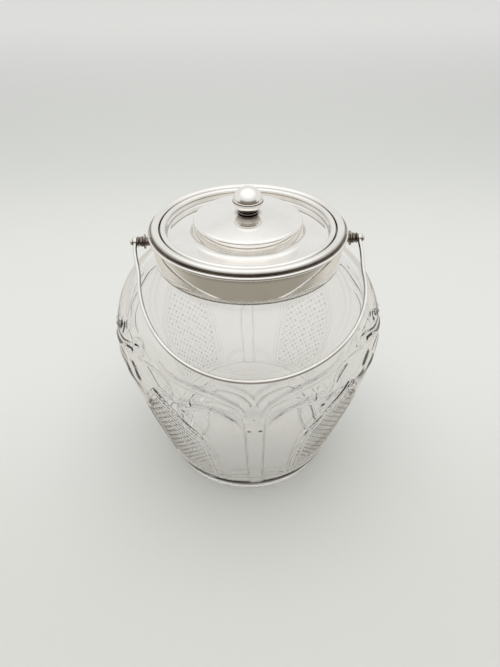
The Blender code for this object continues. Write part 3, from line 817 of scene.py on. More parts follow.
class Pressing(Recipe):
    """A node tree that raises the moulded relief on the jar's side."""

    def __init__(self) -> None:
        """Build the tree."""
        super().__init__("pressing", "Side", {"Relief Depth": "Float", "Stud Height": "Float"})
        relief, studs, outward = (
            self.tree.add("GeometryNodeInputNamedAttribute", {"Name": name}, data_type=kind).outputs[0]
            for name, kind in (("relief", "FLOAT"), ("studs", "FLOAT"), ("outward", "FLOAT_VECTOR")))
        height = self.tree.maths("ADD", self.tree.maths("MULTIPLY", relief, self.given["Relief Depth"]),
                                 self.tree.maths("MULTIPLY", studs, self.given["Stud Height"]))
        lift = self.tree.add("ShaderNodeVectorMath", {0: outward, "Scale": height}, operation="SCALE")
        self.close(self.tree.add("GeometryNodeSetPosition", {"Geometry": self.given["Side"],
                                                             "Offset": lift.outputs[0]}))


# The jar

@dataclass(frozen=True)
class Stroke:
    """A raised or sunk line of the moulding, through points in degrees and millimetres."""

    points: tuple[Point, ...]
    half_width: float
    height: float
    ends: Point = (1.0, 1.0)


@dataclass(frozen=True)
class Boss:
    """A round raised or sunk place in the moulding."""

    centre: Point
    radius: float
    height: float


FOOT_ARCH = Stroke(((4.2, 16.0), (4.2, 22.5), (5.6, 26.6), (8.8, 26.2), (13.0, 24.4), (16.6, 21.0),
                    (17.4, 16.0)), 0.9, 0.55)


@dataclass
class MouldedJar:
    """The glass jar with its stems, curled leaves, studded panels and thick foot."""

    foot_radius: float = 54.6
    foot_edge: float = 1.5
    ring_width: float = 9.0
    recess: float = 2.5
    floor_height: float = 9.0
    floor_corner: float = 7.0
    belly_radius: float = 82.2
    belly_height: float = 103.0
    shoulder: Point = (52.4, 151.9)
    wall: float = 5.0
    neck_bore: float = 46.0
    root_rise: Point = (1.4, 0.4)
    band: Point = (7.0, 128.5)
    columns: int = 576
    rows: int = 148
    plain_columns: int = 144
    relief_depth: float = 0.8
    stud_height: float = 0.3
    stud_cells: int = 6
    trunk_half_angle: float = 3.4
    panel_middle: float = 41.0
    panel_widths: tuple[Point, ...] = (
        (16.0, 19.0), (27.0, 19.6), (40.0, 19.6), (55.0, 19.0), (66.0, 18.2), (74.0, 16.4), (81.0, 12.8),
        (88.0, 9.3), (93.0, 6.8), (98.0, 3.3), (103.3, 0.0))
    bail_clear: float = 1.3
    front_strokes: tuple[Stroke, ...] = (
        Stroke(((6.4, 89.5), (7.6, 94.2), (9.5, 97.5), (12.0, 100.4), (15.0, 102.6), (19.0, 103.6),
                (22.5, 103.1), (26.0, 101.2), (28.8, 98.4), (28.6, 95.0)), 2.1, 0.55, (0.6, 0.9)),
        Stroke(((6.2, 87.5), (7.4, 94.0), (9.4, 97.4), (11.8, 100.3), (14.6, 102.5)), 1.9, 0.95, (0.5, 0.3)),
        Stroke(((3.2, 99.5), (4.5, 104.3), (6.0, 107.0), (8.8, 109.6), (12.0, 112.2), (16.0, 114.1),
                (20.0, 115.4), (24.7, 116.6), (29.2, 117.6), (33.0, 119.1), (35.8, 120.7), (38.5, 123.6)),
               2.1, 1.1, (1.0, 0.4)),
        Stroke(((0.0, 110.5), (2.0, 114.6), (4.0, 116.6), (7.0, 118.3), (11.0, 119.6), (15.3, 120.8)),
               2.1, 1.0, (1.0, 0.2)),
        Stroke(((1.0, 107.8), (1.6, 110.0), (3.6, 113.2), (6.0, 115.4), (9.4, 117.0), (12.8, 117.5),
                (14.4, 116.4)), 1.0, -0.6),
        Stroke(((3.6, 100.8), (4.8, 104.2), (7.0, 106.6), (9.6, 108.2), (12.4, 109.1), (15.4, 109.3),
                (17.5, 108.6)), 0.9, -0.45),
        Stroke(((5.4, 97.5), (8.0, 102.2), (10.8, 104.6), (13.6, 106.0), (18.0, 106.8), (22.5, 107.0)),
               0.9, -0.3),
        Stroke(((24.2, 108.0), (24.4, 104.2)), 0.9, -0.9),
        Stroke(((50.0, 118.6), (44.5, 119.8), (39.0, 119.0), (35.7, 117.4), (33.2, 114.0), (32.4, 110.0),
                (31.6, 107.0)), 0.9, -0.45),
        Stroke(((17.0, 101.2), (17.4, 95.0), (18.8, 87.0), (21.6, 77.5)), 1.1, -0.45),
        FOOT_ARCH,
    )
    side_strokes: tuple[Stroke, ...] = (
        Stroke(((6.4, 89.5), (7.6, 94.2), (9.5, 97.5), (12.0, 100.4), (16.9, 102.9), (21.9, 102.9),
                (25.6, 101.4)), 2.1, 0.55, (0.6, 0.4)),
        Stroke(((3.4, 102.5), (7.0, 108.0), (12.0, 111.0), (21.0, 113.2), (29.0, 118.0), (35.0, 120.2)),
               2.0, 1.0, (0.6, 1.0)),
        Stroke(((4.0, 108.0), (8.0, 114.0), (13.0, 118.6), (17.6, 121.6)), 1.6, 0.8, (0.4, 1.0)),
        Stroke(((0.0, 111.6), (4.5, 114.8), (8.5, 118.0)), 1.9, 0.8, (1.0, 0.1)),
        FOOT_ARCH,
    )
    front_bosses: tuple[Boss, ...] = (
        Boss((27.0, 105.0), 3.2, 0.45), Boss((28.0, 95.6), 3.4, 0.3), Boss((2.2, 87.0), 1.3, -1.3),
        Boss((0.0, 98.0), 0.9, -0.6))
    side_bosses: tuple[Boss, ...] = (
        Boss((30.5, 100.5), 9.0, 0.9), Boss((38.5, 124.8), 2.8, -0.9), Boss((21.5, 126.0), 2.6, -0.9),
        Boss((2.2, 87.0), 1.3, -1.3))
    scrolls: tuple[tuple[Point, float, float, float], ...] = (
        ((38.5, 124.8), 4.4, -130.0, 190.0), ((21.5, 126.0), 3.9, -140.0, 170.0))
    scroll_tightens: float = 0.12
    scroll_stroke: Point = (1.5, 0.45)
    stem_height: float = 0.95
    stem_edge: float = 1.3
    panel_border: Point = (0.45, 1.2)
    panel_bead: Triple = (0.4, 1.1, 2.4)
    panel_sunk: float = 0.3
    foot_edge_height: Point = (15.2, 13.8)
    foot_band: float = 0.5
    foot_groove: Point = (0.45, 1.2)
    askew: float = 1.7
    askew_height: float = 105.0
    # Painted shade on the jar: how sharply the relief must bend, and how dark the sunk pits are.
    shade_curvature: float = 0.9
    pit_shade: float = 0.7

    def side(self, count: int = 200) -> Outline:
        """Return the outer side from the neck root down to the foot, without its relief.

        Args:
            count: how many points each of its two curves has.

        Returns:
            The outline.
        """
        swell, draw_in = self.belly_radius - self.foot_radius, self.belly_radius - self.shoulder[0]
        lower, upper = self.belly_height - self.foot_edge, self.shoulder[1] - self.belly_height
        top = bezier([self.shoulder,
                      (self.belly_radius - draw_in * 0.342, self.belly_height + upper * 0.81),
                      (self.belly_radius, self.belly_height + upper * 0.49),
                      (self.belly_radius, self.belly_height)], count)
        bottom = bezier([(self.belly_radius, self.belly_height),
                         (self.belly_radius, self.foot_edge + lower * 0.854),
                         (self.foot_radius + swell * 0.23, self.foot_edge + lower * 0.146),
                         (self.foot_radius, self.foot_edge)], count)
        return top + bottom[1:]

    def on_side(self, degrees: np.ndarray, height: np.ndarray) -> np.ndarray:
        """Return points on the plain outer side.

        Args:
            degrees: angles from the front towards the right.
            height: heights in millimetres.

        Returns:
            One row of x, y and z in millimetres for each.
        """
        side = np.array(self.side())[::-1]
        radius = np.interp(height, side[:, 1], side[:, 0])
        angle = np.radians(degrees)
        return np.stack([radius * np.sin(angle), -radius * np.cos(angle), height], axis=-1)

    def band_heights(self) -> np.ndarray:
        """Space the moulded band's rows evenly along the side.

        Returns:
            The rows' heights from the top.
        """
        side = np.array(self.side())
        steps = np.hypot(*np.diff(side, axis=0).T)
        length = np.concatenate([[0.0], np.cumsum(steps)])
        top, bottom = (np.interp(-z, -side[:, 1], length) for z in self.band[::-1])
        return np.interp(np.linspace(top, bottom, self.rows + 1), length, side[:, 1])

    def scroll(self, centre: Point, radius: float, start: float, end: float) -> tuple[Point, ...]:
        """Return a curl that tightens round an eye.

        Args:
            centre: its eye in degrees and millimetres.
            radius: its first radius in millimetres.
            start: where it starts, in degrees round the eye.
            end: where it ends.

        Returns:
            Its points in degrees and millimetres.
        """
        reach = self.on_side(np.array([0.0]), np.array([centre[1]]))[0]
        per_degree = math.radians(1.0) * -reach[1]
        points = []
        for t in np.linspace(0.0, 1.0, 14):
            angle = math.radians(start + (end - start) * t)
            size = radius * (1.0 - self.scroll_tightens * t)
            across, up = size * math.cos(angle) / per_degree, size * math.sin(angle)
            points.append((centre[0] + across, centre[1] + up))
        return tuple(points)

    @staticmethod
    def nearest(points: np.ndarray, samples: np.ndarray) -> tuple[np.ndarray, np.ndarray]:
        """Find the nearest sample to each point.

        Args:
            points: the points.
            samples: the samples.

        Returns:
            Each point's distance to its nearest sample, and which sample that is.
        """
        best = np.full(len(points), 1e9)
        which = np.zeros(len(points), int)
        for i, sample in enumerate(samples):
            gap = ((points - sample) ** 2).sum(axis=1)
            closer = gap < best
            best[closer] = gap[closer]
            which[closer] = i
        return np.sqrt(best), which

    def draw(self, points: np.ndarray, stroke: Stroke, side: bool) -> np.ndarray:
        """Return the height that one stroke gives at points of the side.

        Args:
            points: places on the plain side.
            stroke: the line.
            side: whether the line's angles run back from the side stem.

        Returns:
            The heights in the stroke's own sign.
        """
        path = smooth_path(stroke.points, 0.05)
        degrees = 90.0 - path[:, 0] if side else path[:, 0]
        samples = self.on_side(degrees, path[:, 1])
        distance, which = self.nearest(points, samples)
        share = which / max(len(samples) - 1, 1)
        size = np.interp(share, [0.0, 0.35, 0.65, 1.0], [stroke.ends[0], 1.0, 1.0, stroke.ends[1]])
        return stroke.height * size * ridge(distance / (stroke.half_width * (0.5 + 0.5 * size)))

    def dome(self, points: np.ndarray, boss: Boss, side: bool) -> np.ndarray:
        """Return the height that one boss gives at points of the side.

        Args:
            points: places on the plain side.
            boss: the round place.
            side: whether its angle runs back from the side stem.

        Returns:
            The heights in the boss's own sign.
        """
        degrees = 90.0 - boss.centre[0] if side else boss.centre[0]
        distance, _ = self.nearest(points, self.on_side(np.array([degrees]), np.array([boss.centre[1]])))
        return boss.height * smooth_step(0.0, boss.radius, boss.radius - distance)

    def panel(self, degrees: np.ndarray, heights: np.ndarray,
              points: np.ndarray) -> tuple[np.ndarray, np.ndarray]:
        """Return the relief of the studded panel and where its studs are.

        Args:
            degrees: each point's angle from the front stem.
            heights: each point's height.
            points: the points themselves.

        Returns:
            The raised border's heights, and how far inside the border each point is.
        """
        table = np.array(self.panel_widths)
        z = np.linspace(table[0, 0], table[-1, 0], 160)
        width = np.interp(z, table[:, 0], table[:, 1])
        edges = [self.on_side(self.panel_middle + s * width, z) for s in (-1, 1)]
        foot = np.linspace(-table[0, 1], table[0, 1], 60) + self.panel_middle
        edges.append(self.on_side(foot, np.full(60, table[0, 0])))
        distance, _ = self.nearest(points, np.vstack(edges))
        half = np.interp(heights, table[:, 0], table[:, 1], left=-1.0, right=-1.0)
        inside = np.abs(degrees - self.panel_middle) < half
        depth = np.where(inside, distance, -distance)
        height, reach = self.panel_border
        low, narrow, inset = self.panel_bead
        return np.maximum(height * ridge(depth / reach), low * ridge((depth - inset) / narrow)), depth

    def relief(self, degrees: np.ndarray, heights: np.ndarray) -> tuple[np.ndarray, np.ndarray]:
        """Return the relief over a quarter of the jar, from the front stem to the side stem.

        Args:
            degrees: the columns' angles, from 0 to 90.
            heights: the rows' heights.

        Returns:
            The relief and the studs' share, one row for each height.
        """
        grid_d, grid_z = np.meshgrid(degrees, heights)
        flat_d, flat_z = grid_d.ravel(), grid_z.ravel()
        points = self.on_side(flat_d, flat_z)
        radius = np.hypot(points[:, 0], points[:, 1])
        from_stem = np.radians(np.minimum(flat_d, 90.0 - flat_d)) * radius
        stem_half = math.radians(self.trunk_half_angle) * radius
        stem_half *= 1 + 0.5 * smooth_step(90.0, 108.0, flat_z)
        stem = 1.0 - smooth_step(0.0, self.stem_edge, from_stem - stem_half + 0.6)
        stem *= 1.0 - 0.7 * smooth_step(96.0, 110.0, flat_z)
        raised = self.stem_height * stem * (1.0 - smooth_step(111.0, 114.0, flat_z))
        sunk = np.zeros(len(points))
        scrolls = tuple(Stroke(self.scroll(*scroll), *self.scroll_stroke, (1.0, 0.5))
                        for scroll in self.scrolls)
        for strokes, bosses, side in ((self.front_strokes, self.front_bosses, False),
                                      (self.side_strokes + scrolls, self.side_bosses, True)):
            for height in ([self.draw(points, stroke, side) for stroke in strokes]
                           + [self.dome(points, boss, side) for boss in bosses]):
                raised = np.maximum(raised, height)
                sunk = np.minimum(sunk, height)
        border, depth = self.panel(flat_d, flat_z, points)
        inside = smooth_step(3.2, 4.0, depth)
        beside = raised * smooth_step(0.0, 1.0, -depth - 0.2)
        raised = np.where(depth > -0.2, border, np.maximum(beside, border))
        sunk = np.where(depth > 0, 0.0, sunk) - self.panel_sunk * inside
        at_stem, between_stems = self.foot_edge_height
        edge = at_stem - (at_stem - between_stems) * smooth_step(0.0, 22.0, np.minimum(flat_d, 90.0 - flat_d))
        band = 1.0 - smooth_step(-0.4, 0.8, flat_z - edge)
        raised = np.maximum(raised * (1 - 0.6 * band), self.foot_band * band)
        groove, reach = self.foot_groove
        sunk = sunk * (1 - band) - groove * ridge((flat_z - edge) / reach) * (1 - stem * 0.5)
        shape = grid_d.shape
        return (raised + sunk).reshape(shape), inside.reshape(shape)

    def stud_pattern(self, rows: int, columns: int) -> tuple[np.ndarray, np.ndarray]:
        """Lay the lattice of studs on the band's grid.

        Args:
            rows: the grid's rows.
            columns: its columns.

        Returns:
            The studs' heights, and the pits where the furrows cross, each from 0 to 1.
        """
        i, j = np.meshgrid(np.arange(columns), np.arange(rows))
        cells = self.stud_cells

        def climb(k: np.ndarray) -> np.ndarray:
            """Return how far each cell is from the nearest furrow."""
            return np.minimum(k % cells, -k % cells) / (cells / 2)

        rising, falling = climb(i + j), climb(i - j)
        drift = 3.3 * np.sin(1.7 * np.round((i - j) / cells))
        uneven = 0.7 + 0.3 * np.sin(2.1 * np.round((i + j) / cells) + drift)
        return np.minimum(rising, falling), uneven * np.maximum(0.0, 1.0 - 1.4 * np.maximum(rising, falling))

    def outward(self, degrees: np.ndarray, heights: np.ndarray) -> np.ndarray:
        """Find the plain side's outward directions on a grid.

        Args:
            degrees: the columns' angles.
            heights: the rows' heights.

        Returns:
            One vector for each vertex.
        """
        side = np.array(self.side())[::-1]
        slope = np.gradient(side[:, 0], side[:, 1])
        lean = np.interp(heights, side[:, 1], slope)[:, None]
        angle = np.radians(degrees)[None, :]
        vectors = np.stack([np.sin(angle) + 0 * lean, -np.cos(angle) + 0 * lean, -lean + 0 * angle], axis=-1)
        return vectors / np.linalg.norm(vectors, axis=-1, keepdims=True)

    def plain_outlines(self) -> tuple[Outline, Outline]:
        """Outline the jar beyond its moulded band.

        Returns:
            The outline from the inner floor up over the lip to the band, and the one below the band.
        """
        side = self.side(60)
        inside_rise, outside_rise = self.root_rise
        corner_top = self.floor_height + self.floor_corner
        inner = [p for p in reversed(offset(self.side(120), self.wall))
                 if p[1] > corner_top and p[0] > self.neck_bore + inside_rise][::3]
        above = [(radius, self.floor_height) for radius in (0.0, 14.0, 28.0, 40.0)]
        above += arc((inner[0][0] - self.floor_corner, corner_top), self.floor_corner, -90, -4, 9) + inner
        above += rounded([(*inner[-1], 0.0), (self.neck_bore, self.shoulder[1] + inside_rise, 2.0),
                          (self.neck_bore, LIP_HEIGHT, 2.2), (NECK_RADIUS, LIP_HEIGHT, 2.2),
                          (NECK_RADIUS, self.shoulder[1] + outside_rise, 1.6), (*side[1], 0.0)],
                         6, False)[1:-1]
        above += [p for p in side if p[1] > self.band[1] + 0.6][1:]
        below = [p for p in side if self.foot_edge < p[1] < self.band[0] - 0.6][::3]
        below += arc((self.foot_radius - self.foot_edge, self.foot_edge), self.foot_edge, -5, -90, 6)
        ring = self.foot_radius - self.ring_width
        below += rounded([(self.foot_radius - 4.0, 0.0, 0.0), (ring, 0.0, 0.8),
                          (ring - self.recess, self.recess, 0.8), (20.0, self.recess, 0.0)], 5, False)[1:]
        return above, below + [(0.0, self.recess)]

    def carrier(self, bail_line: np.ndarray) -> bpy.types.Object:
        """Return the smooth jar with its relief, studs and outward directions as attributes.

        Args:
            bail_line: the bail's centre line at rest, which the relief stays clear of.

        Returns:
            The jar's closed mesh before its relief is raised.
        """
        heights = self.band_heights()
        degrees = np.arange(self.columns) * 360.0 / self.columns
        quarter, studded = self.relief(degrees[:self.columns // 4 + 1], heights)
        grid_d, grid_z = np.meshgrid(degrees, heights)
        points = self.on_side(grid_d.ravel(), grid_z.ravel())
        ends = smooth_step(self.band[0], self.band[0] + 4.0, grid_z)
        ends *= 1.0 - smooth_step(self.band[1] - 3.0, self.band[1], grid_z)
        relief = self.carried_round(quarter, heights, grid_d, points) * ends
        studded = self.carried_round(studded, heights, grid_d, points) * ends
        studs, pits = (studded * pattern for pattern in self.stud_pattern(len(heights), self.columns))
        outward = self.outward(degrees, heights)
        for mirror in (1.0, -1.0):
            line = bail_line * np.array([1.0, mirror, 1.0])
            gap, _ = self.nearest(points, line)
            room = np.where(gap < 8.0, gap - self.bail_clear, 9.0).reshape(relief.shape)
            relief = np.minimum(relief, np.maximum(room, 0.0))
        above, below = self.plain_outlines()
        fields = {"relief": relief, "studs": studs, "painted_shade": self.painted_shade(relief, pits)}
        return self.assemble(points, outward.reshape(-1, 3), fields, above, below)

    def carried_round(self, quarter: np.ndarray, heights: np.ndarray, degrees: np.ndarray,
                      points: np.ndarray) -> np.ndarray:
        """Carry a quarter's values round the whole jar, on which the pattern lies a little askew.

        Args:
            quarter: the values from the front stem to the side stem, row by row from the top.
            heights: the rows' heights.
            degrees: the whole grid's angles.
            points: the whole grid's points on the plain side.

        Returns:
            The values on the whole grid.
        """
        x, y, z = (values.reshape(degrees.shape) for values in points.T)
        turn = math.radians(self.askew)
        radius = np.hypot(x, y)
        level = z - turn * x
        angle = degrees + np.degrees(turn * (z - self.askew_height) * -y / radius ** 2)
        folded = np.abs((angle + 90.0) % 180.0 - 90.0)
        row = np.interp(level, heights[::-1], np.arange(len(heights))[::-1].astype(float))
        column = folded * self.columns / 360.0
        upper = np.clip(row.astype(int), 0, quarter.shape[0] - 2)
        left = np.clip(column.astype(int), 0, quarter.shape[1] - 2)
        down, across = row - upper, column - left
        top = quarter[upper, left] * (1 - across) + quarter[upper, left + 1] * across
        bottom = quarter[upper + 1, left] * (1 - across) + quarter[upper + 1, left + 1] * across
        return top * (1 - down) + bottom * down

    def painted_shade(self, relief: np.ndarray, pits: np.ndarray) -> np.ndarray:
        """Work out where shade is painted: beside raised lines, in pits and between the studs.

        Args:
            relief: the relief's heights.
            pits: the pits between the studs.

        Returns:
            How much painted shade there is, from 0 to 1.
        """
        height = relief * self.relief_depth
        bend = np.roll(height, 1, axis=1) + np.roll(height, -1, axis=1) - 2 * height
        bend[1:-1] += height[2:] + height[:-2] - 2 * height[1:-1]
        deep = self.pit_shade * smooth_step(0.45, 0.8, -relief)
        return np.clip(np.maximum.reduce([bend / self.shade_curvature, pits, deep]), 0.0, 1.0)

    def assemble(self, points: np.ndarray, outward: np.ndarray, fields: dict[str, np.ndarray],
                 above: Outline, below: Outline) -> bpy.types.Object:
        """Join the moulded band to the plain rings above and below it.

        Args:
            points: the band's vertices in millimetres, row by row from the top.
            outward: their directions.
            fields: their relief, studs and painted shade.
            above: the outline from the inner floor up over the lip to the band.
            below: the outline from the band down under the foot.

        Returns:
            The jar's closed mesh with its attributes.
        """
        fine, plain = self.columns, self.plain_columns
        each = fine // plain
        vertices = [tuple(p) for p in points * MM]
        angles = around(plain) - 0.5 * math.pi
        rows = [range(first, first + fine) for first in range(0, len(points), fine)]
        upper, lower = ([add_ring(vertices, *p, angles) for p in outline] for outline in (above, below))
        faces = [face for rings in (rows, upper, lower) for pair in zip(rings, rings[1:])
                 for face in skin(*pair)]
        for i in range(plain):
            j = (i + 1) % plain
            across = [(each * i + k) % fine for k in range(each + 1)]
            faces.append((upper[-1][j], upper[-1][i], *(rows[0][k] for k in across)))
            faces.append((*(rows[-1][k] for k in reversed(across)), lower[0][i], lower[0][j]))
        mesh = bpy.data.meshes.new("glass_jar_plain")
        mesh.from_pydata(vertices, [], faces)
        spare = len(vertices) - len(points)
        for name, values in fields.items():
            write_field(mesh, name, np.concatenate([values.ravel(), np.zeros(spare)]))
        vectors = np.vstack([outward, np.zeros((spare, 3))]).astype(np.float32)
        mesh.attributes.new("outward", "FLOAT_VECTOR", "POINT").data.foreach_set("vector", vectors.ravel())
        return linked("glass_jar_plain", mesh)

    def build(self, pressing: Pressing, bail_line: np.ndarray, finishes: Finishes) -> None:
        """Make the jar and let it stand for its CAD node.

        Args:
            pressing: the tree that raises the relief.
            bail_line: the bail's centre line at rest.
            finishes: the materials.
        """
        jar = pressing.run("moulded_jar", self.carrier(bail_line),
                           {"Relief Depth": self.relief_depth * MM, "Stud Height": self.stud_height * MM,
                            "Finish": finishes.glass})
        for name in ("relief", "studs", "outward"):
            jar.data.attributes.remove(jar.data.attributes[name])
        face_outwards(jar.data, mend=False)
        keep(jar, "glass_jar", "jar", finishes.glass)


# The neck mount

@dataclass
class NeckMount:
    """The collar, its edge wire and the plaster that beds it on the glass neck."""

    steps: int = 256
    foot: Point = (53.8, 152.3)
    seat_radius: float = 55.3
    bore: float = 48.2
    wire_radius: float = 1.1
    root_height: float = 153.3

    def side_radius(self, height: float) -> float:
        """Return the radius of the collar's tapering side at a height."""
        lean = (self.seat_radius - self.foot[0]) / (SEAT_HEIGHT - self.foot[1])
        return self.foot[0] + lean * (height - self.foot[1])

    def collar(self) -> Outline:
        """Outline the collar, with extra points where its painted shade and tarnish change.

        Returns:
            The closed outline.
        """
        levels = [*np.linspace(SEAT_HEIGHT - 0.6, SEAT_HEIGHT - 5.0, 9), 160.0, 156.0,
                  *np.linspace(self.foot[1] + 1.5, self.foot[1] + 0.3, 5)]
        under_seat = SEAT_HEIGHT - PLATE_SHEET
        return rounded([(self.bore, SEAT_HEIGHT, 0.35), (self.seat_radius, SEAT_HEIGHT, 0.3),
                        *((self.side_radius(z), float(z), 0.0) for z in levels), (*self.foot, 0.25),
                        (self.foot[0] - PLATE_SHEET, self.foot[1], 0.25),
                        (self.seat_radius - PLATE_SHEET, under_seat, 0.3), (self.bore, under_seat, 0.35)], 5)

    def collar_shade_and_tarnish(self, radius: float, height: float) -> float:
        """Tell how much painted shade and tarnish the collar has: under the lid, below the wire, along its
        foot, and painted shade inside.

        Args:
            radius: a place's radius.
            height: its height.

        Returns:
            The painted shade and tarnish, from 0 to 1.
        """
        under_lid = 0.9 * between(1.0 - abs(height - SEAT_HEIGHT) / 0.5)
        below_wire = 0.55 * between(1.0 - abs(height - SEAT_HEIGHT + 2 * self.wire_radius) / 2.4)
        at_foot = between(1.6 - (height - self.foot[1]) / 0.8)
        # Painted shade on the collar's inner side, under the lid.
        hidden = 0.6 if radius < self.foot[0] - 0.4 else 0.0
        return max(under_lid, below_wire, at_foot, hidden)

    def edge_wire(self) -> Outline:
        """Return the half-round wire's outline."""
        centre = (self.seat_radius + GAP, SEAT_HEIGHT - self.wire_radius)
        return arc(centre, self.wire_radius, 90, -90, 22)

    def wire_shade_and_tarnish(self, radius: float, height: float) -> float:
        """Return the wire's painted shade and tarnish: only where it meets the collar."""
        return 0.95 if radius < self.seat_radius + GAP + 0.4 else 0.0

    def bed(self) -> Outline:
        """Outline the plaster between the collar and the neck.

        Returns:
            The closed outline.
        """
        top, bottom = SEAT_HEIGHT - PLATE_SHEET - GAP, self.root_height + GAP
        inset = PLATE_SHEET + GAP
        return rounded([(self.bore + GAP, top, 0.3), (self.side_radius(top) - inset, top, 0.3),
                        (self.side_radius(bottom) - inset, bottom, 0.5), (NECK_RADIUS + GAP, bottom, 0.3),
                        (NECK_RADIUS + GAP, LIP_HEIGHT + GAP, 0.3),
                        (self.bore + GAP, LIP_HEIGHT + GAP, 0.3)], 4)

    def build(self, sweep: RingSweep, finishes: Finishes) -> None:
        """Make the three rings and let them stand for their CAD nodes.

        Args:
            sweep: the tree that turns an outline.
            finishes: the materials.
        """
        silver, plaster = ("silver_plate", finishes.turned), ("plaster", finishes.plaster)
        for name, node, outline, (slot, finish), shade_and_tarnish in (
                ("collar_band", "neck_collar", self.collar(), silver, self.collar_shade_and_tarnish),
                ("collar_roll", "collar_edge_wire", self.edge_wire(), silver, self.wire_shade_and_tarnish),
                ("plaster_ring", "plaster_bed", self.bed(), plaster, None)):
            keep(sweep.ring(name, outline, self.steps, finish, shade_and_tarnish), node, "jar", finish)


# The bail and its pivots

@dataclass
class BailPivots:
    """The posts, washers and domed screws that the bail swings on."""

    steps: int = 64
    stub_radius: float = 2.4
    stub_start: float = 55.0
    flange: Triple = (58.9, 59.7, 4.3)
    barrel_end: float = 62.5
    barrel_radius: float = 3.0
    neck_radius: float = 2.3
    washer: Triple = (62.8, 63.5, 3.0)
    hole: float = 1.3
    screw_radius: float = 1.0
    screw_start: float = 58.9
    head_start: float = 66.3
    head_radius: float = 2.4
    head_height: float = 1.8

    def post(self) -> Outline:
        """Outline the post along its own axis.

        Returns:
            The outline, from the axis round to the axis.
        """
        start, end, wide = self.flange
        middle = (end + self.barrel_end) / 2
        deep = self.screw_start - GAP
        return rounded([(0.0, deep, 0.0), (self.hole, deep, 0.0), (self.hole, self.barrel_end, 0.15),
                        (self.neck_radius, self.barrel_end, 0.25), (self.barrel_radius, middle + 0.5, 0.7),
                        (self.barrel_radius, middle - 0.5, 0.7), (self.neck_radius, end + 0.05, 0.3),
                        (wide, end, 0.3), (wide, start, 0.3), (self.stub_radius + 0.1, start, 0.3),
                        (self.stub_radius, self.stub_start, 0.2), (0.0, self.stub_start, 0.0)], 5, False)

    def disc(self) -> Outline:
        """Outline the washer under the bail's eye.

        Returns:
            The closed outline.
        """
        start, end, wide = self.washer
        return rounded([(self.hole, end, 0.15), (wide, end, 0.25), (wide, start, 0.25),
                        (self.hole, start, 0.15)], 5)

    def screw(self) -> Outline:
        """Outline the screw from the top of its dome to its end.

        Returns:
            The outline, from the axis round to the axis.
        """
        below = self.head_radius - self.head_height
        centre = (0.0, self.head_start - below)
        flat = math.asin((below + 0.15) / self.head_radius)
        rim = self.head_radius * math.cos(flat) - 0.05
        dome = arc(centre, self.head_radius, 86, math.degrees(flat), 20)
        shank = rounded([(rim, self.head_start, 0.0), (self.screw_radius, self.head_start, 0.15),
                         (self.screw_radius, self.screw_start, 0.3), (0.0, self.screw_start, 0.0)], 4, False)
        return [(0.0, centre[1] + self.head_radius), *dome, *shank]

    def build(self, sweep: RingSweep, finishes: Finishes) -> None:
        """Make both sides' fittings and let them stand for their CAD nodes.

        Args:
            sweep: the tree that turns an outline.
            finishes: the materials.
        """
        for side, word in ((1, "right"), (-1, "left")):
            for piece, node in (
                    (sweep.ring(f"{word}_eye_disc", self.disc(), self.steps, finishes.pivot), "washer"),
                    (lathe(f"{word}_turned_post", self.post(), self.steps), "post"),
                    (lathe(f"{word}_domed_screw", self.screw(), self.steps), "screw")):
                keep(aim_along_x(piece, side), f"{word}_pivot_{node}", "jar", finishes.pivot)


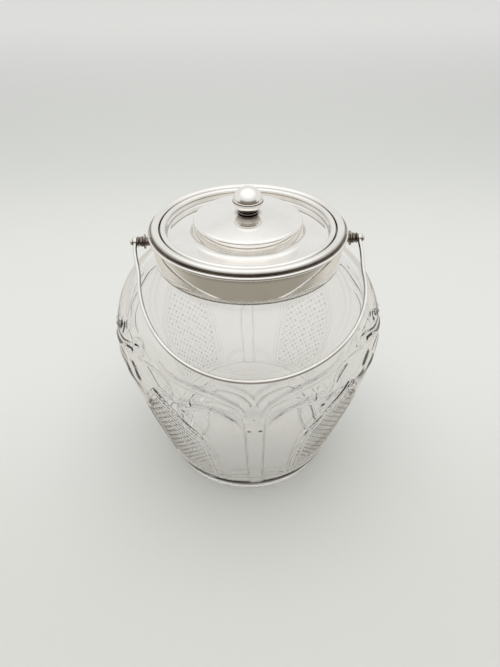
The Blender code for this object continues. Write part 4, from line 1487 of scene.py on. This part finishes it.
@dataclass
class BailHandle:
    """The wire bail with a flattened, pierced eye at each end."""

    wire_radius: float = 1.15
    eye_middle: float = 64.9
    eye_thickness: float = 2.2
    eye_radius: float = 2.5
    eye_steps: int = 48
    hole: float = 1.3
    straight: float = 5.0
    leg: float = 26.6
    bow_radius: float = 62.7
    skew: float = 2.1
    rest_tilt: float = 66.0
    sides: int = 20
    # How far from the pivots the bail's painted shade reaches.
    shade_reach: float = 75.0

    def centre_line(self) -> np.ndarray:
        """Lay the wire's centre line in its own plane.

        Returns:
            One row for each point: x across, and z up from the pivots.
        """
        t = np.linspace(0.0, 1.0, 24, endpoint=False)
        leg = np.stack([self.eye_middle + (self.bow_radius - self.eye_middle) * smooth_step(0.0, 1.0, t),
                        -self.straight - (self.leg - self.straight) * t], axis=1)
        start = np.stack([np.full(5, self.eye_middle), -np.linspace(1.55, self.straight - 0.8, 5)], axis=1)
        right = np.vstack([start, leg])
        bow = np.radians(np.linspace(0.0, -180.0, 150))
        middle = np.stack([self.bow_radius * np.cos(bow), -self.leg + self.bow_radius * np.sin(bow)], axis=1)
        line = np.vstack([right, middle, right[::-1] * np.array([-1.0, 1.0])])
        depth = self.leg + self.bow_radius - self.straight
        line[:, 0] += self.skew * np.sin(math.pi * np.maximum(-line[:, 1] - self.straight, 0.0) / depth)
        return line

    def rest_line(self) -> np.ndarray:
        """Hang the wire's centre line at rest against the jar's front.

        Returns:
            One row of x, y and z for each point.
        """
        tilt = math.radians(self.rest_tilt)
        x, drop = self.centre_line().T
        return np.stack([x, drop * math.sin(tilt), PIVOT_HEIGHT + drop * math.cos(tilt)], axis=1)

    def eye(self, side: int) -> bpy.types.Object:
        """Make one pierced eye, turned about the pivots' axis.

        Args:
            side: 1 for the right eye and -1 for the left one.

        Returns:
            The eye.
        """
        start, end = self.eye_middle - self.eye_thickness / 2, self.eye_middle + self.eye_thickness / 2
        outline = rounded([(self.hole, end, 0.2), (self.eye_radius, end, 0.5), (self.eye_radius, start, 0.5),
                           (self.hole, start, 0.2)], 6)
        return aim_along_x(lathe("bail_eye", outline, self.eye_steps, closed=True), side)

    def paint_inner_shade(self, mesh: bpy.types.Mesh) -> None:
        """Write the wire's painted shade: on its inner side, and less so away from the pivots.

        Args:
            mesh: the bail's mesh, which gets the attribute.
        """
        values = []
        for vertex in mesh.vertices:
            inward = -math.copysign(1.0, vertex.co.x) * vertex.normal.x
            away = math.hypot(vertex.co.y, vertex.co.z - PIVOT_HEIGHT * MM) / MM
            values.append(between(1.0 - away / self.shade_reach) * between((inward - 0.25) / 0.3))
        write_field(mesh, "shade_and_tarnish", values)

    def build(self, sweep: WireSweep, finishes: Finishes) -> None:
        """Make the bail and let it stand for its CAD node.

        Args:
            sweep: the tree that runs a wire.
            finishes: the materials.
        """
        thicker = 0.10 * np.exp(-np.abs(self.centre_line()[:, 1] + 1.5) / 1.6)
        bail = sweep.wire("bail_wire", self.rest_line(), 1.0 + thicker, self.wire_radius, self.sides,
                          finishes.drawn)
        shape = bmesh.new()
        shape.from_mesh(bail.data)
        for side in (1, -1):
            eye = self.eye(side)
            shape.from_mesh(eye.data)
            bpy.data.objects.remove(eye, do_unlink=True)
        shape.to_mesh(bail.data)
        shape.free()
        face_outwards(bail.data)
        self.paint_inner_shade(bail.data)
        keep(bail, "bail_handle", "bail", finishes.drawn)


# The lid

@dataclass
class DomedLid:
    """The spun lid with its raised dome, sunk plate, reed and bead."""

    steps: int = 288
    bead_radius: float = 2.4
    bead_outer: float = 55.0
    reed_radius: float = 1.7
    reed_outer: float = 49.9
    plate_drop: float = 3.5
    plate_corner: float = 1.6
    plate_end: float = 44.6
    dome_radius: float = 31.2
    dome_foot: float = 34.5
    flare: float = 3.0
    shoulder_rise: float = 5.2
    edge: float = 1.8
    crown_rise: float = 8.2
    hole: float = 1.9

    def crown(self, radius: float) -> float:
        """Return the crown's height above the seat at a radius."""
        return self.crown_rise - (self.crown_rise - self.shoulder_rise) * (radius / self.dome_radius) ** 2

    def inner_wall(self) -> float:
        """Return the radius of the wall between the sunk plate and the reed."""
        return self.reed_outer - 2 * self.reed_radius

    def top(self) -> Outline:
        """Outline the sheet's upper face from the hole out to its rim.

        Returns:
            The outline, with its heights above the seat.
        """
        end, inner = self.dome_radius - self.edge, self.inner_wall()
        fall = 2 * (self.crown_rise - self.shoulder_rise) * end / self.dome_radius ** 2
        slope = math.degrees(math.atan(fall))
        steep = math.radians(90 - slope)
        centre = (end - self.edge * math.cos(steep), self.crown(end) - self.edge * math.sin(steep))
        return ([(r, self.crown(r)) for r in np.linspace(self.hole, end, 22)]
                + arc(centre, self.edge, 90 - slope, 14, 12)[1:]
                + arc((self.dome_foot, self.flare - self.plate_drop), self.flare, 185, 270, 12)
                + [(r, -self.plate_drop) for r in np.linspace(self.dome_foot, self.plate_end, 8)[1:]]
                + arc((inner - self.plate_corner, self.plate_corner - self.plate_drop), self.plate_corner,
                      -90, 0, 9)[1:]
                + [(inner, z) for z in (-1.2, -0.7, -0.3, 0.0)]
                + arc((self.reed_outer - self.reed_radius, GAP), self.reed_radius, 180, 0, 22))

    def shell(self) -> Outline:
        """Return the closed outline of the spun sheet."""
        top = self.top()
        return [(r, SEAT_HEIGHT + z) for r, z in top + offset(top, PLATE_SHEET)[::-1]]

    def shell_shade_and_tarnish(self, radius: float, height: float) -> float:
        """Tell how much painted shade and tarnish the sheet has: beside the bead, in the plate's corner,
        along the top of the inner wall and by the knob.

        Args:
            radius: a place's radius.
            height: its height.

        Returns:
            The painted shade and tarnish, from 0 to 1.
        """
        inner = self.inner_wall()
        valley = between(1.0 - abs(radius - self.reed_outer) / 0.5)
        low = height < SEAT_HEIGHT - self.plate_drop + self.plate_corner
        corner = 0.75 * between(1.0 - abs(radius - inner + 0.4) / 0.4) if low else 0.0
        by_knob = 0.8 * between((7.6 - radius) / 1.4)
        line = 0.9 * between(1.0 - abs(height - SEAT_HEIGHT) / 0.5) if abs(radius - inner) < 0.1 else 0.0
        return max(valley, corner, by_knob, line)

    def bead(self) -> Outline:
        """Return the half-round bead's outline."""
        return arc((self.bead_outer - self.bead_radius, SEAT_HEIGHT + GAP), self.bead_radius, 180, 0, 32)

    def bead_shade_and_tarnish(self, radius: float, height: float) -> float:
        """Tell how much painted shade and tarnish the bead has: beside the reed, and painted shade down its
        outer side at the collar.

        Args:
            radius: a place's radius.
            height: its height.

        Returns:
            The painted shade and tarnish, from 0 to 1.
        """
        inner = 0.9 * max(0.0, 1.0 - (radius - self.bead_outer + 2 * self.bead_radius) / 0.35)
        above = (height - SEAT_HEIGHT - GAP) / self.bead_radius
        if radius <= self.bead_outer - self.bead_radius:
            return inner
        # Painted shade down the bead's outer side, where it meets the collar.
        return max(inner, 0.6 * between((0.88 - above) / 0.3), between((0.75 - above) / 0.35))

    def build(self, sweep: RingSweep, finishes: Finishes) -> None:
        """Make the lid's two rings and let them stand for their CAD nodes.

        Args:
            sweep: the tree that turns an outline.
            finishes: the materials.
        """
        for name, node, outline, shade_and_tarnish in (("spun_lid", "lid_shell", self.shell(), self.shell_shade_and_tarnish),
                                          ("lid_half_round", "lid_bead", self.bead(), self.bead_shade_and_tarnish)):
            ring = sweep.ring(name, outline, self.steps, finishes.turned, shade_and_tarnish)
            keep(ring, node, "lid", finishes.turned)


@dataclass
class Knob:
    """The hollow ball knob on its collet, with the stud, washer and nut that hold it."""

    steps: int = 128
    small_steps: int = 64
    nut_steps: int = 48
    crown: float = 178.2
    collet_radius: float = 5.7
    collet_thickness: float = 0.8
    neck: float = 5.2
    bowl_radius: float = 8.3
    bowl_height: float = 5.7
    bowl_floor: float = 1.2
    seam_width: float = 0.45
    seam_height: float = 0.8
    sheet: float = 0.9
    cap_height: float = 7.5
    stud_radius: float = 1.6
    head: Point = (3.4, 1.0)
    tail: float = 0.9
    washer: Point = (5.0, 0.7)
    nut: Point = (4.0, 3.0)
    nut_chamfer: float = 0.3
    nut_worn: float = 0.92
    under_fall: float = 0.078

    @property
    def hole(self) -> float:
        """Return the radius of the holes that the stud passes."""
        return self.stud_radius + GAP

    @property
    def bowl_base(self) -> float:
        """Return the height of the bowl's underside."""
        return self.crown + 2 * GAP + self.collet_thickness

    @property
    def washer_top(self) -> float:
        """Return the height of the top of the washer under the crown."""
        return self.crown - PLATE_SHEET - self.under_fall - GAP

    def collet(self) -> Outline:
        """Outline the collet between the dome and the bowl.

        Returns:
            The closed outline.
        """
        base, half = self.crown + GAP, self.collet_thickness / 2
        edge = arc((self.collet_radius - half, base + half), half, 90, -90, 14)
        return [(self.hole, base + self.collet_thickness), *edge, (self.hole, base)]

    def collet_shade_and_tarnish(self, radius: float, height: float) -> float:
        """Return the collet's painted shade and tarnish, which is the same all over, as it sits in a crevice.
        """
        return 0.9

    def bowl(self) -> Outline:
        """Outline the knob's lower half with its seam.

        Returns:
            The closed outline.
        """
        base, inside = self.bowl_base, self.bowl_radius - self.sheet
        rim, floor = base + self.bowl_height, base + self.bowl_floor
        side = bezier([(self.bowl_radius, rim - self.seam_height),
                       (self.bowl_radius, rim - self.bowl_height / 2),
                       (self.neck + self.sheet, base + self.bowl_height / 5), (self.neck, base)], 26)
        seam = arc((self.bowl_radius + self.seam_width - self.seam_height / 2, rim - self.seam_height / 2),
                   self.seam_height / 2, 80, -80, 12)
        return [(self.hole, floor), (self.neck - self.sheet / 2, floor), (inside, rim - self.bowl_height / 3),
                (inside, rim), (self.bowl_radius, rim), *seam, *side, (self.hole, base)]

    def bowl_shade_and_tarnish(self, radius: float, height: float) -> float:
        """Return the bowl's dark seam, and its painted shade down at its neck."""
        at_seam = height > self.bowl_base + self.bowl_height - 0.1
        return 0.9 if at_seam else max(0.0, 1.0 - (height - self.crown - 1.4) / 3.4)

    def cap(self) -> Outline:
        """Outline the knob's upper half.

        Returns:
            The outline, from the axis round to the axis.
        """
        base = self.bowl_base + GAP + self.bowl_height
        quarter = arc((0.0, 0.0), 1.0, 90, 0, 34)[1:]
        wide, high = self.bowl_radius - self.sheet, self.cap_height - self.sheet
        return [(0.0, base + self.cap_height),
                *((x * self.bowl_radius, base + z * self.cap_height) for x, z in quarter),
                *((x * wide, base + z * high) for x, z in reversed(quarter)), (0.0, base + high)]

    def stud(self) -> Outline:
        """Outline the stud.

        Returns:
            The outline, from the axis round to the axis.
        """
        low = self.bowl_base + self.bowl_floor + GAP
        tail = self.crown - PLATE_SHEET - self.washer[1] - self.nut[1] - 2 * GAP - self.tail
        head, high = self.head
        return rounded([(0.0, low + high, 0.0), (head, low + high, 0.3), (head, low, 0.3),
                        (self.stud_radius, low, 0.1), (self.stud_radius, tail, 0.4), (0.0, tail, 0.0)],
                       5, False)

    def under_washer(self) -> Outline:
        """Outline the washer under the crown.

        Returns:
            The closed outline.
        """
        wide, thick = self.washer
        top, bottom = self.washer_top, self.washer_top - thick
        return rounded([(self.hole, top, 0.1), (wide, top, 0.2), (wide, bottom, 0.2),
                        (self.hole, bottom, 0.1)], 4)

    def hex_nut(self) -> bpy.types.Object:
        """Make the hexagonal nut with its corners turned off.

        Returns:
            The nut.
        """
        wide, high = self.nut
        top = self.washer_top - self.washer[1] - GAP
        half = math.radians(30)
        turn = (0.5 * math.pi - around(self.nut_steps)) % (2 * half) - half
        flats = wide * math.cos(half) / np.cos(turn)
        ends = np.minimum(flats, self.nut_worn * wide)
        outline = [(self.hole, top), (ends, top), (flats, top - self.nut_chamfer),
                   (flats, top - high + self.nut_chamfer), (ends, top - high), (self.hole, top - high)]
        return lathe("under_nut", outline, self.nut_steps, closed=True)

    def build(self, sweep: RingSweep, finishes: Finishes) -> None:
        """Make the knob's pieces and let them stand for their CAD nodes.

        Args:
            sweep: the tree that turns an outline.
            finishes: the materials.
        """
        silver, brass = ("silver_plate", finishes.turned), ("brass", finishes.brass)
        collet = sweep.ring("knob_collet", self.collet(), self.steps, finishes.turned, self.collet_shade_and_tarnish)
        bowl = sweep.ring("knob_bowl", self.bowl(), self.steps, finishes.turned, self.bowl_shade_and_tarnish)
        for piece, node, (slot, finish) in (
                (collet, "finial_collet", silver), (bowl, "finial_bowl", silver),
                (lathe("knob_cap", self.cap(), self.steps), "finial_cap", silver),
                (lathe("knob_stud", self.stud(), self.small_steps), "finial_stud", brass),
                (sweep.ring("under_washer", self.under_washer(), self.small_steps, finishes.brass),
                 "lid_washer", brass),
                (self.hex_nut(), "lid_nut", brass)):
            keep(piece, node, "lid", finish)


# The studio

@dataclass
class Studio:
    """A pale table, soft light all round, a large softbox overhead and the camera."""

    floor_radius: float = 6.0
    floor_steps: int = 96
    floor_drop: float = 0.0002
    # The table's tones stand in for how the light falls on it: painted light and shade.
    floor_near: Colour = (0.63, 0.63, 0.60)
    floor_middle: Colour = (0.715, 0.72, 0.695)
    floor_shaded_band: Colour = (0.655, 0.665, 0.645)
    floor_far: Colour = (0.90, 0.90, 0.885)
    floor_mottle: Colour = (0.55, 0.54, 0.52)
    floor_roughness: float = 0.75
    floor_gloss: float = 0.2
    backdrop: Colour = (0.74, 0.745, 0.735)
    zenith: Colour = (1.0, 1.0, 0.99)
    sky_strength: float = 1.12
    near_side: Colour = (0.20, 0.172, 0.14)
    # What mirrors see of the table near the camera: a painted dark reflection of the room.
    near_floor: Colour = (0.34, 0.315, 0.265)
    through_glass: Colour = (0.42, 0.40, 0.375)
    # Tints of the table's painted glow in mirrors and through glass.
    mirror_warmth: Colour = (0.98, 0.93, 0.86)
    glass_warmth: Colour = (1.0, 0.975, 0.945)
    shadow_share: Point = (0.2, 0.85)
    light_strength: float = 0.9
    softbox_power: float = 6.0
    softbox_size: Point = (1.1, 0.9)
    softbox_place: Triple = (0.0, -0.05, 1.15)
    camera_place: Triple = (-0.0096, -0.2798, 0.311)
    camera_turn: Triple = (51.95, 0.0, -2.2)
    camera_reach: Point = (0.01, 50.0)
    lens: float = 29.15
    sensor: float = 36.0

    def table_top(self) -> bpy.types.Material:
        """Make the table's material, whose tone changes gently with its depth behind the barrel: painted
        light and shade for how the light falls on it.

        Mirrored and refracted rays see the table glow with the same tones and less shadow, a painted light,
        and in mirrors it darkens towards the room on the camera's side, a painted reflection.

        Returns:
            The material.
        """
        look = Surface("table_top")
        tree, depth = look.tree, look.parts["Y"]
        # The tones by depth are painted light and shade: brighter in the middle, a darker band behind it,
        # paler far off.
        tone = tree.blend(tree.spread(depth, -0.16, 0.10), self.floor_near, self.floor_middle)
        tone = tree.blend(tree.spread(depth, 0.26, 0.58), tone, self.floor_shaded_band)
        tone = tree.blend(tree.spread(depth, 0.6, 2.0), tone, self.floor_far)
        mottle = tree.spread(tree.noise(look.place, 14.0, 5.0, 0.6), 0.3, 0.7, 0.0, 0.02)
        tree.feed(look.shader, {"Base Color": tree.blend(mottle, tone, self.floor_mottle),
                                "Roughness": self.floor_roughness, "Specular IOR Level": self.floor_gloss})
        path = tree.add("ShaderNodeLightPath").outputs
        mirrored = tree.maths("SUBTRACT", path["Is Glossy Ray"], path["Is Transmission Ray"])
        nearer = tree.maths("MULTIPLY", mirrored, tree.spread(depth, 0.07, -0.15))
        room = tree.blend(tree.spread(depth, -0.24, -0.7), self.near_floor, self.near_side)
        warm = tree.blend(mirrored, self.glass_warmth, self.mirror_warmth)
        warmed = tree.add("ShaderNodeVectorMath", {0: tone, 1: warm}, operation="MULTIPLY").outputs[0]
        # The glow is painted light: the table shines its tones into mirrors and glass without being lit,
        # darkened towards the camera's side as a painted reflection.
        glow = tree.add("ShaderNodeEmission", {"Color": tree.blend(nearer, warmed, room), "Strength": 1.0})
        behind, in_front = self.shadow_share
        clear = tree.spread(depth, 0.015, -0.04, 1.0 - behind, 1.0 - in_front)
        refracted = tree.maths("MULTIPLY", path["Is Transmission Ray"], clear)
        look.cover(tree.maths("MAXIMUM", mirrored, refracted), glow)
        return look.material

    def floor(self) -> None:
        """Make the table top."""
        mesh = bpy.data.meshes.new("table_top")
        mesh.from_pydata([(self.floor_radius * math.cos(a), self.floor_radius * math.sin(a), -self.floor_drop)
                          for a in around(self.floor_steps)], [], [tuple(range(self.floor_steps))])
        mesh.materials.append(self.table_top())
        linked("table_top", mesh)

    def sky(self) -> None:
        """Set the soft light all round, and what mirrors and glass see in it.

        That is white above, pale round the sides, and a dim room low on the camera's side.
        """
        world = bpy.data.worlds.new("studio")
        bpy.context.scene.world = world
        world.use_nodes = True
        world.node_tree.nodes.clear()
        tree = Tree(world.node_tree)
        way = tree.add("ShaderNodeTexCoord").outputs["Generated"]
        parts = tree.add("ShaderNodeSeparateXYZ", {0: way}).outputs
        path = tree.add("ShaderNodeLightPath").outputs
        up = tree.spread(parts["Z"], 0.55, 0.87)
        near = tree.spread(parts["Y"], -0.20, -0.60)
        low = tree.maths("MULTIPLY", tree.spread(parts["Z"], 0.52, 0.10), near)
        room = tree.blend(path["Is Transmission Ray"], self.near_side, self.through_glass)
        ring = tree.blend(low, self.backdrop, room)
        lit, mirrored, seen = (
            tree.add("ShaderNodeBackground", {"Color": colour, "Strength": strength}).outputs[0]
            for colour, strength in ((tree.blend(up, self.backdrop, self.zenith), self.light_strength),
                                     (tree.blend(up, ring, self.zenith), self.sky_strength),
                                     (rgba(self.backdrop), 1.0)))
        bounced = tree.maths("MAXIMUM", path["Is Glossy Ray"], path["Is Transmission Ray"])
        mix = tree.add("ShaderNodeMixShader", {0: bounced, 1: lit, 2: mirrored}).outputs[0]
        mix = tree.add("ShaderNodeMixShader", {0: path["Is Camera Ray"], 1: mix, 2: seen}).outputs[0]
        tree.add("ShaderNodeOutputWorld", {"Surface": mix})

    def softbox(self) -> None:
        """Hang the large softbox above the table."""
        light = bpy.data.lights.new("softbox", "AREA")
        light.shape = "RECTANGLE"
        light.size, light.size_y = self.softbox_size
        light.energy = self.softbox_power
        lamp = linked("softbox", light)
        lamp.location = self.softbox_place
        lamp.visible_glossy = False
        lamp.visible_transmission = False

    def camera(self) -> None:
        """Set the camera where the photograph was taken from."""
        data = bpy.data.cameras.new("camera")
        data.lens, data.sensor_width = self.lens, self.sensor
        data.clip_start, data.clip_end = self.camera_reach
        camera = linked("camera", data)
        camera.location = self.camera_place
        camera.rotation_euler = tuple(math.radians(angle) for angle in self.camera_turn)
        bpy.context.scene.camera = camera

    def build(self) -> None:
        """Set up the whole studio."""
        bpy.context.scene.view_settings.view_transform = "Standard"
        self.floor()
        self.sky()
        self.softbox()
        self.camera()


def main() -> None:
    """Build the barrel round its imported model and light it."""
    logging.basicConfig(level=logging.INFO, format="%(name)s: %(message)s")
    for obj in list(bpy.data.objects):
        bpy.data.objects.remove(obj, do_unlink=True)
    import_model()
    Studio().build()
    finishes, rings, bail = Finishes.made(), RingSweep(), BailHandle()
    MouldedJar().build(Pressing(), bail.rest_line(), finishes)
    NeckMount().build(rings, finishes)
    BailPivots().build(rings, finishes)
    bail.build(WireSweep(), finishes)
    DomedLid().build(rings, finishes)
    Knob().build(rings, finishes)
    log.info("finished")


if __name__ == "__main__":
    main()
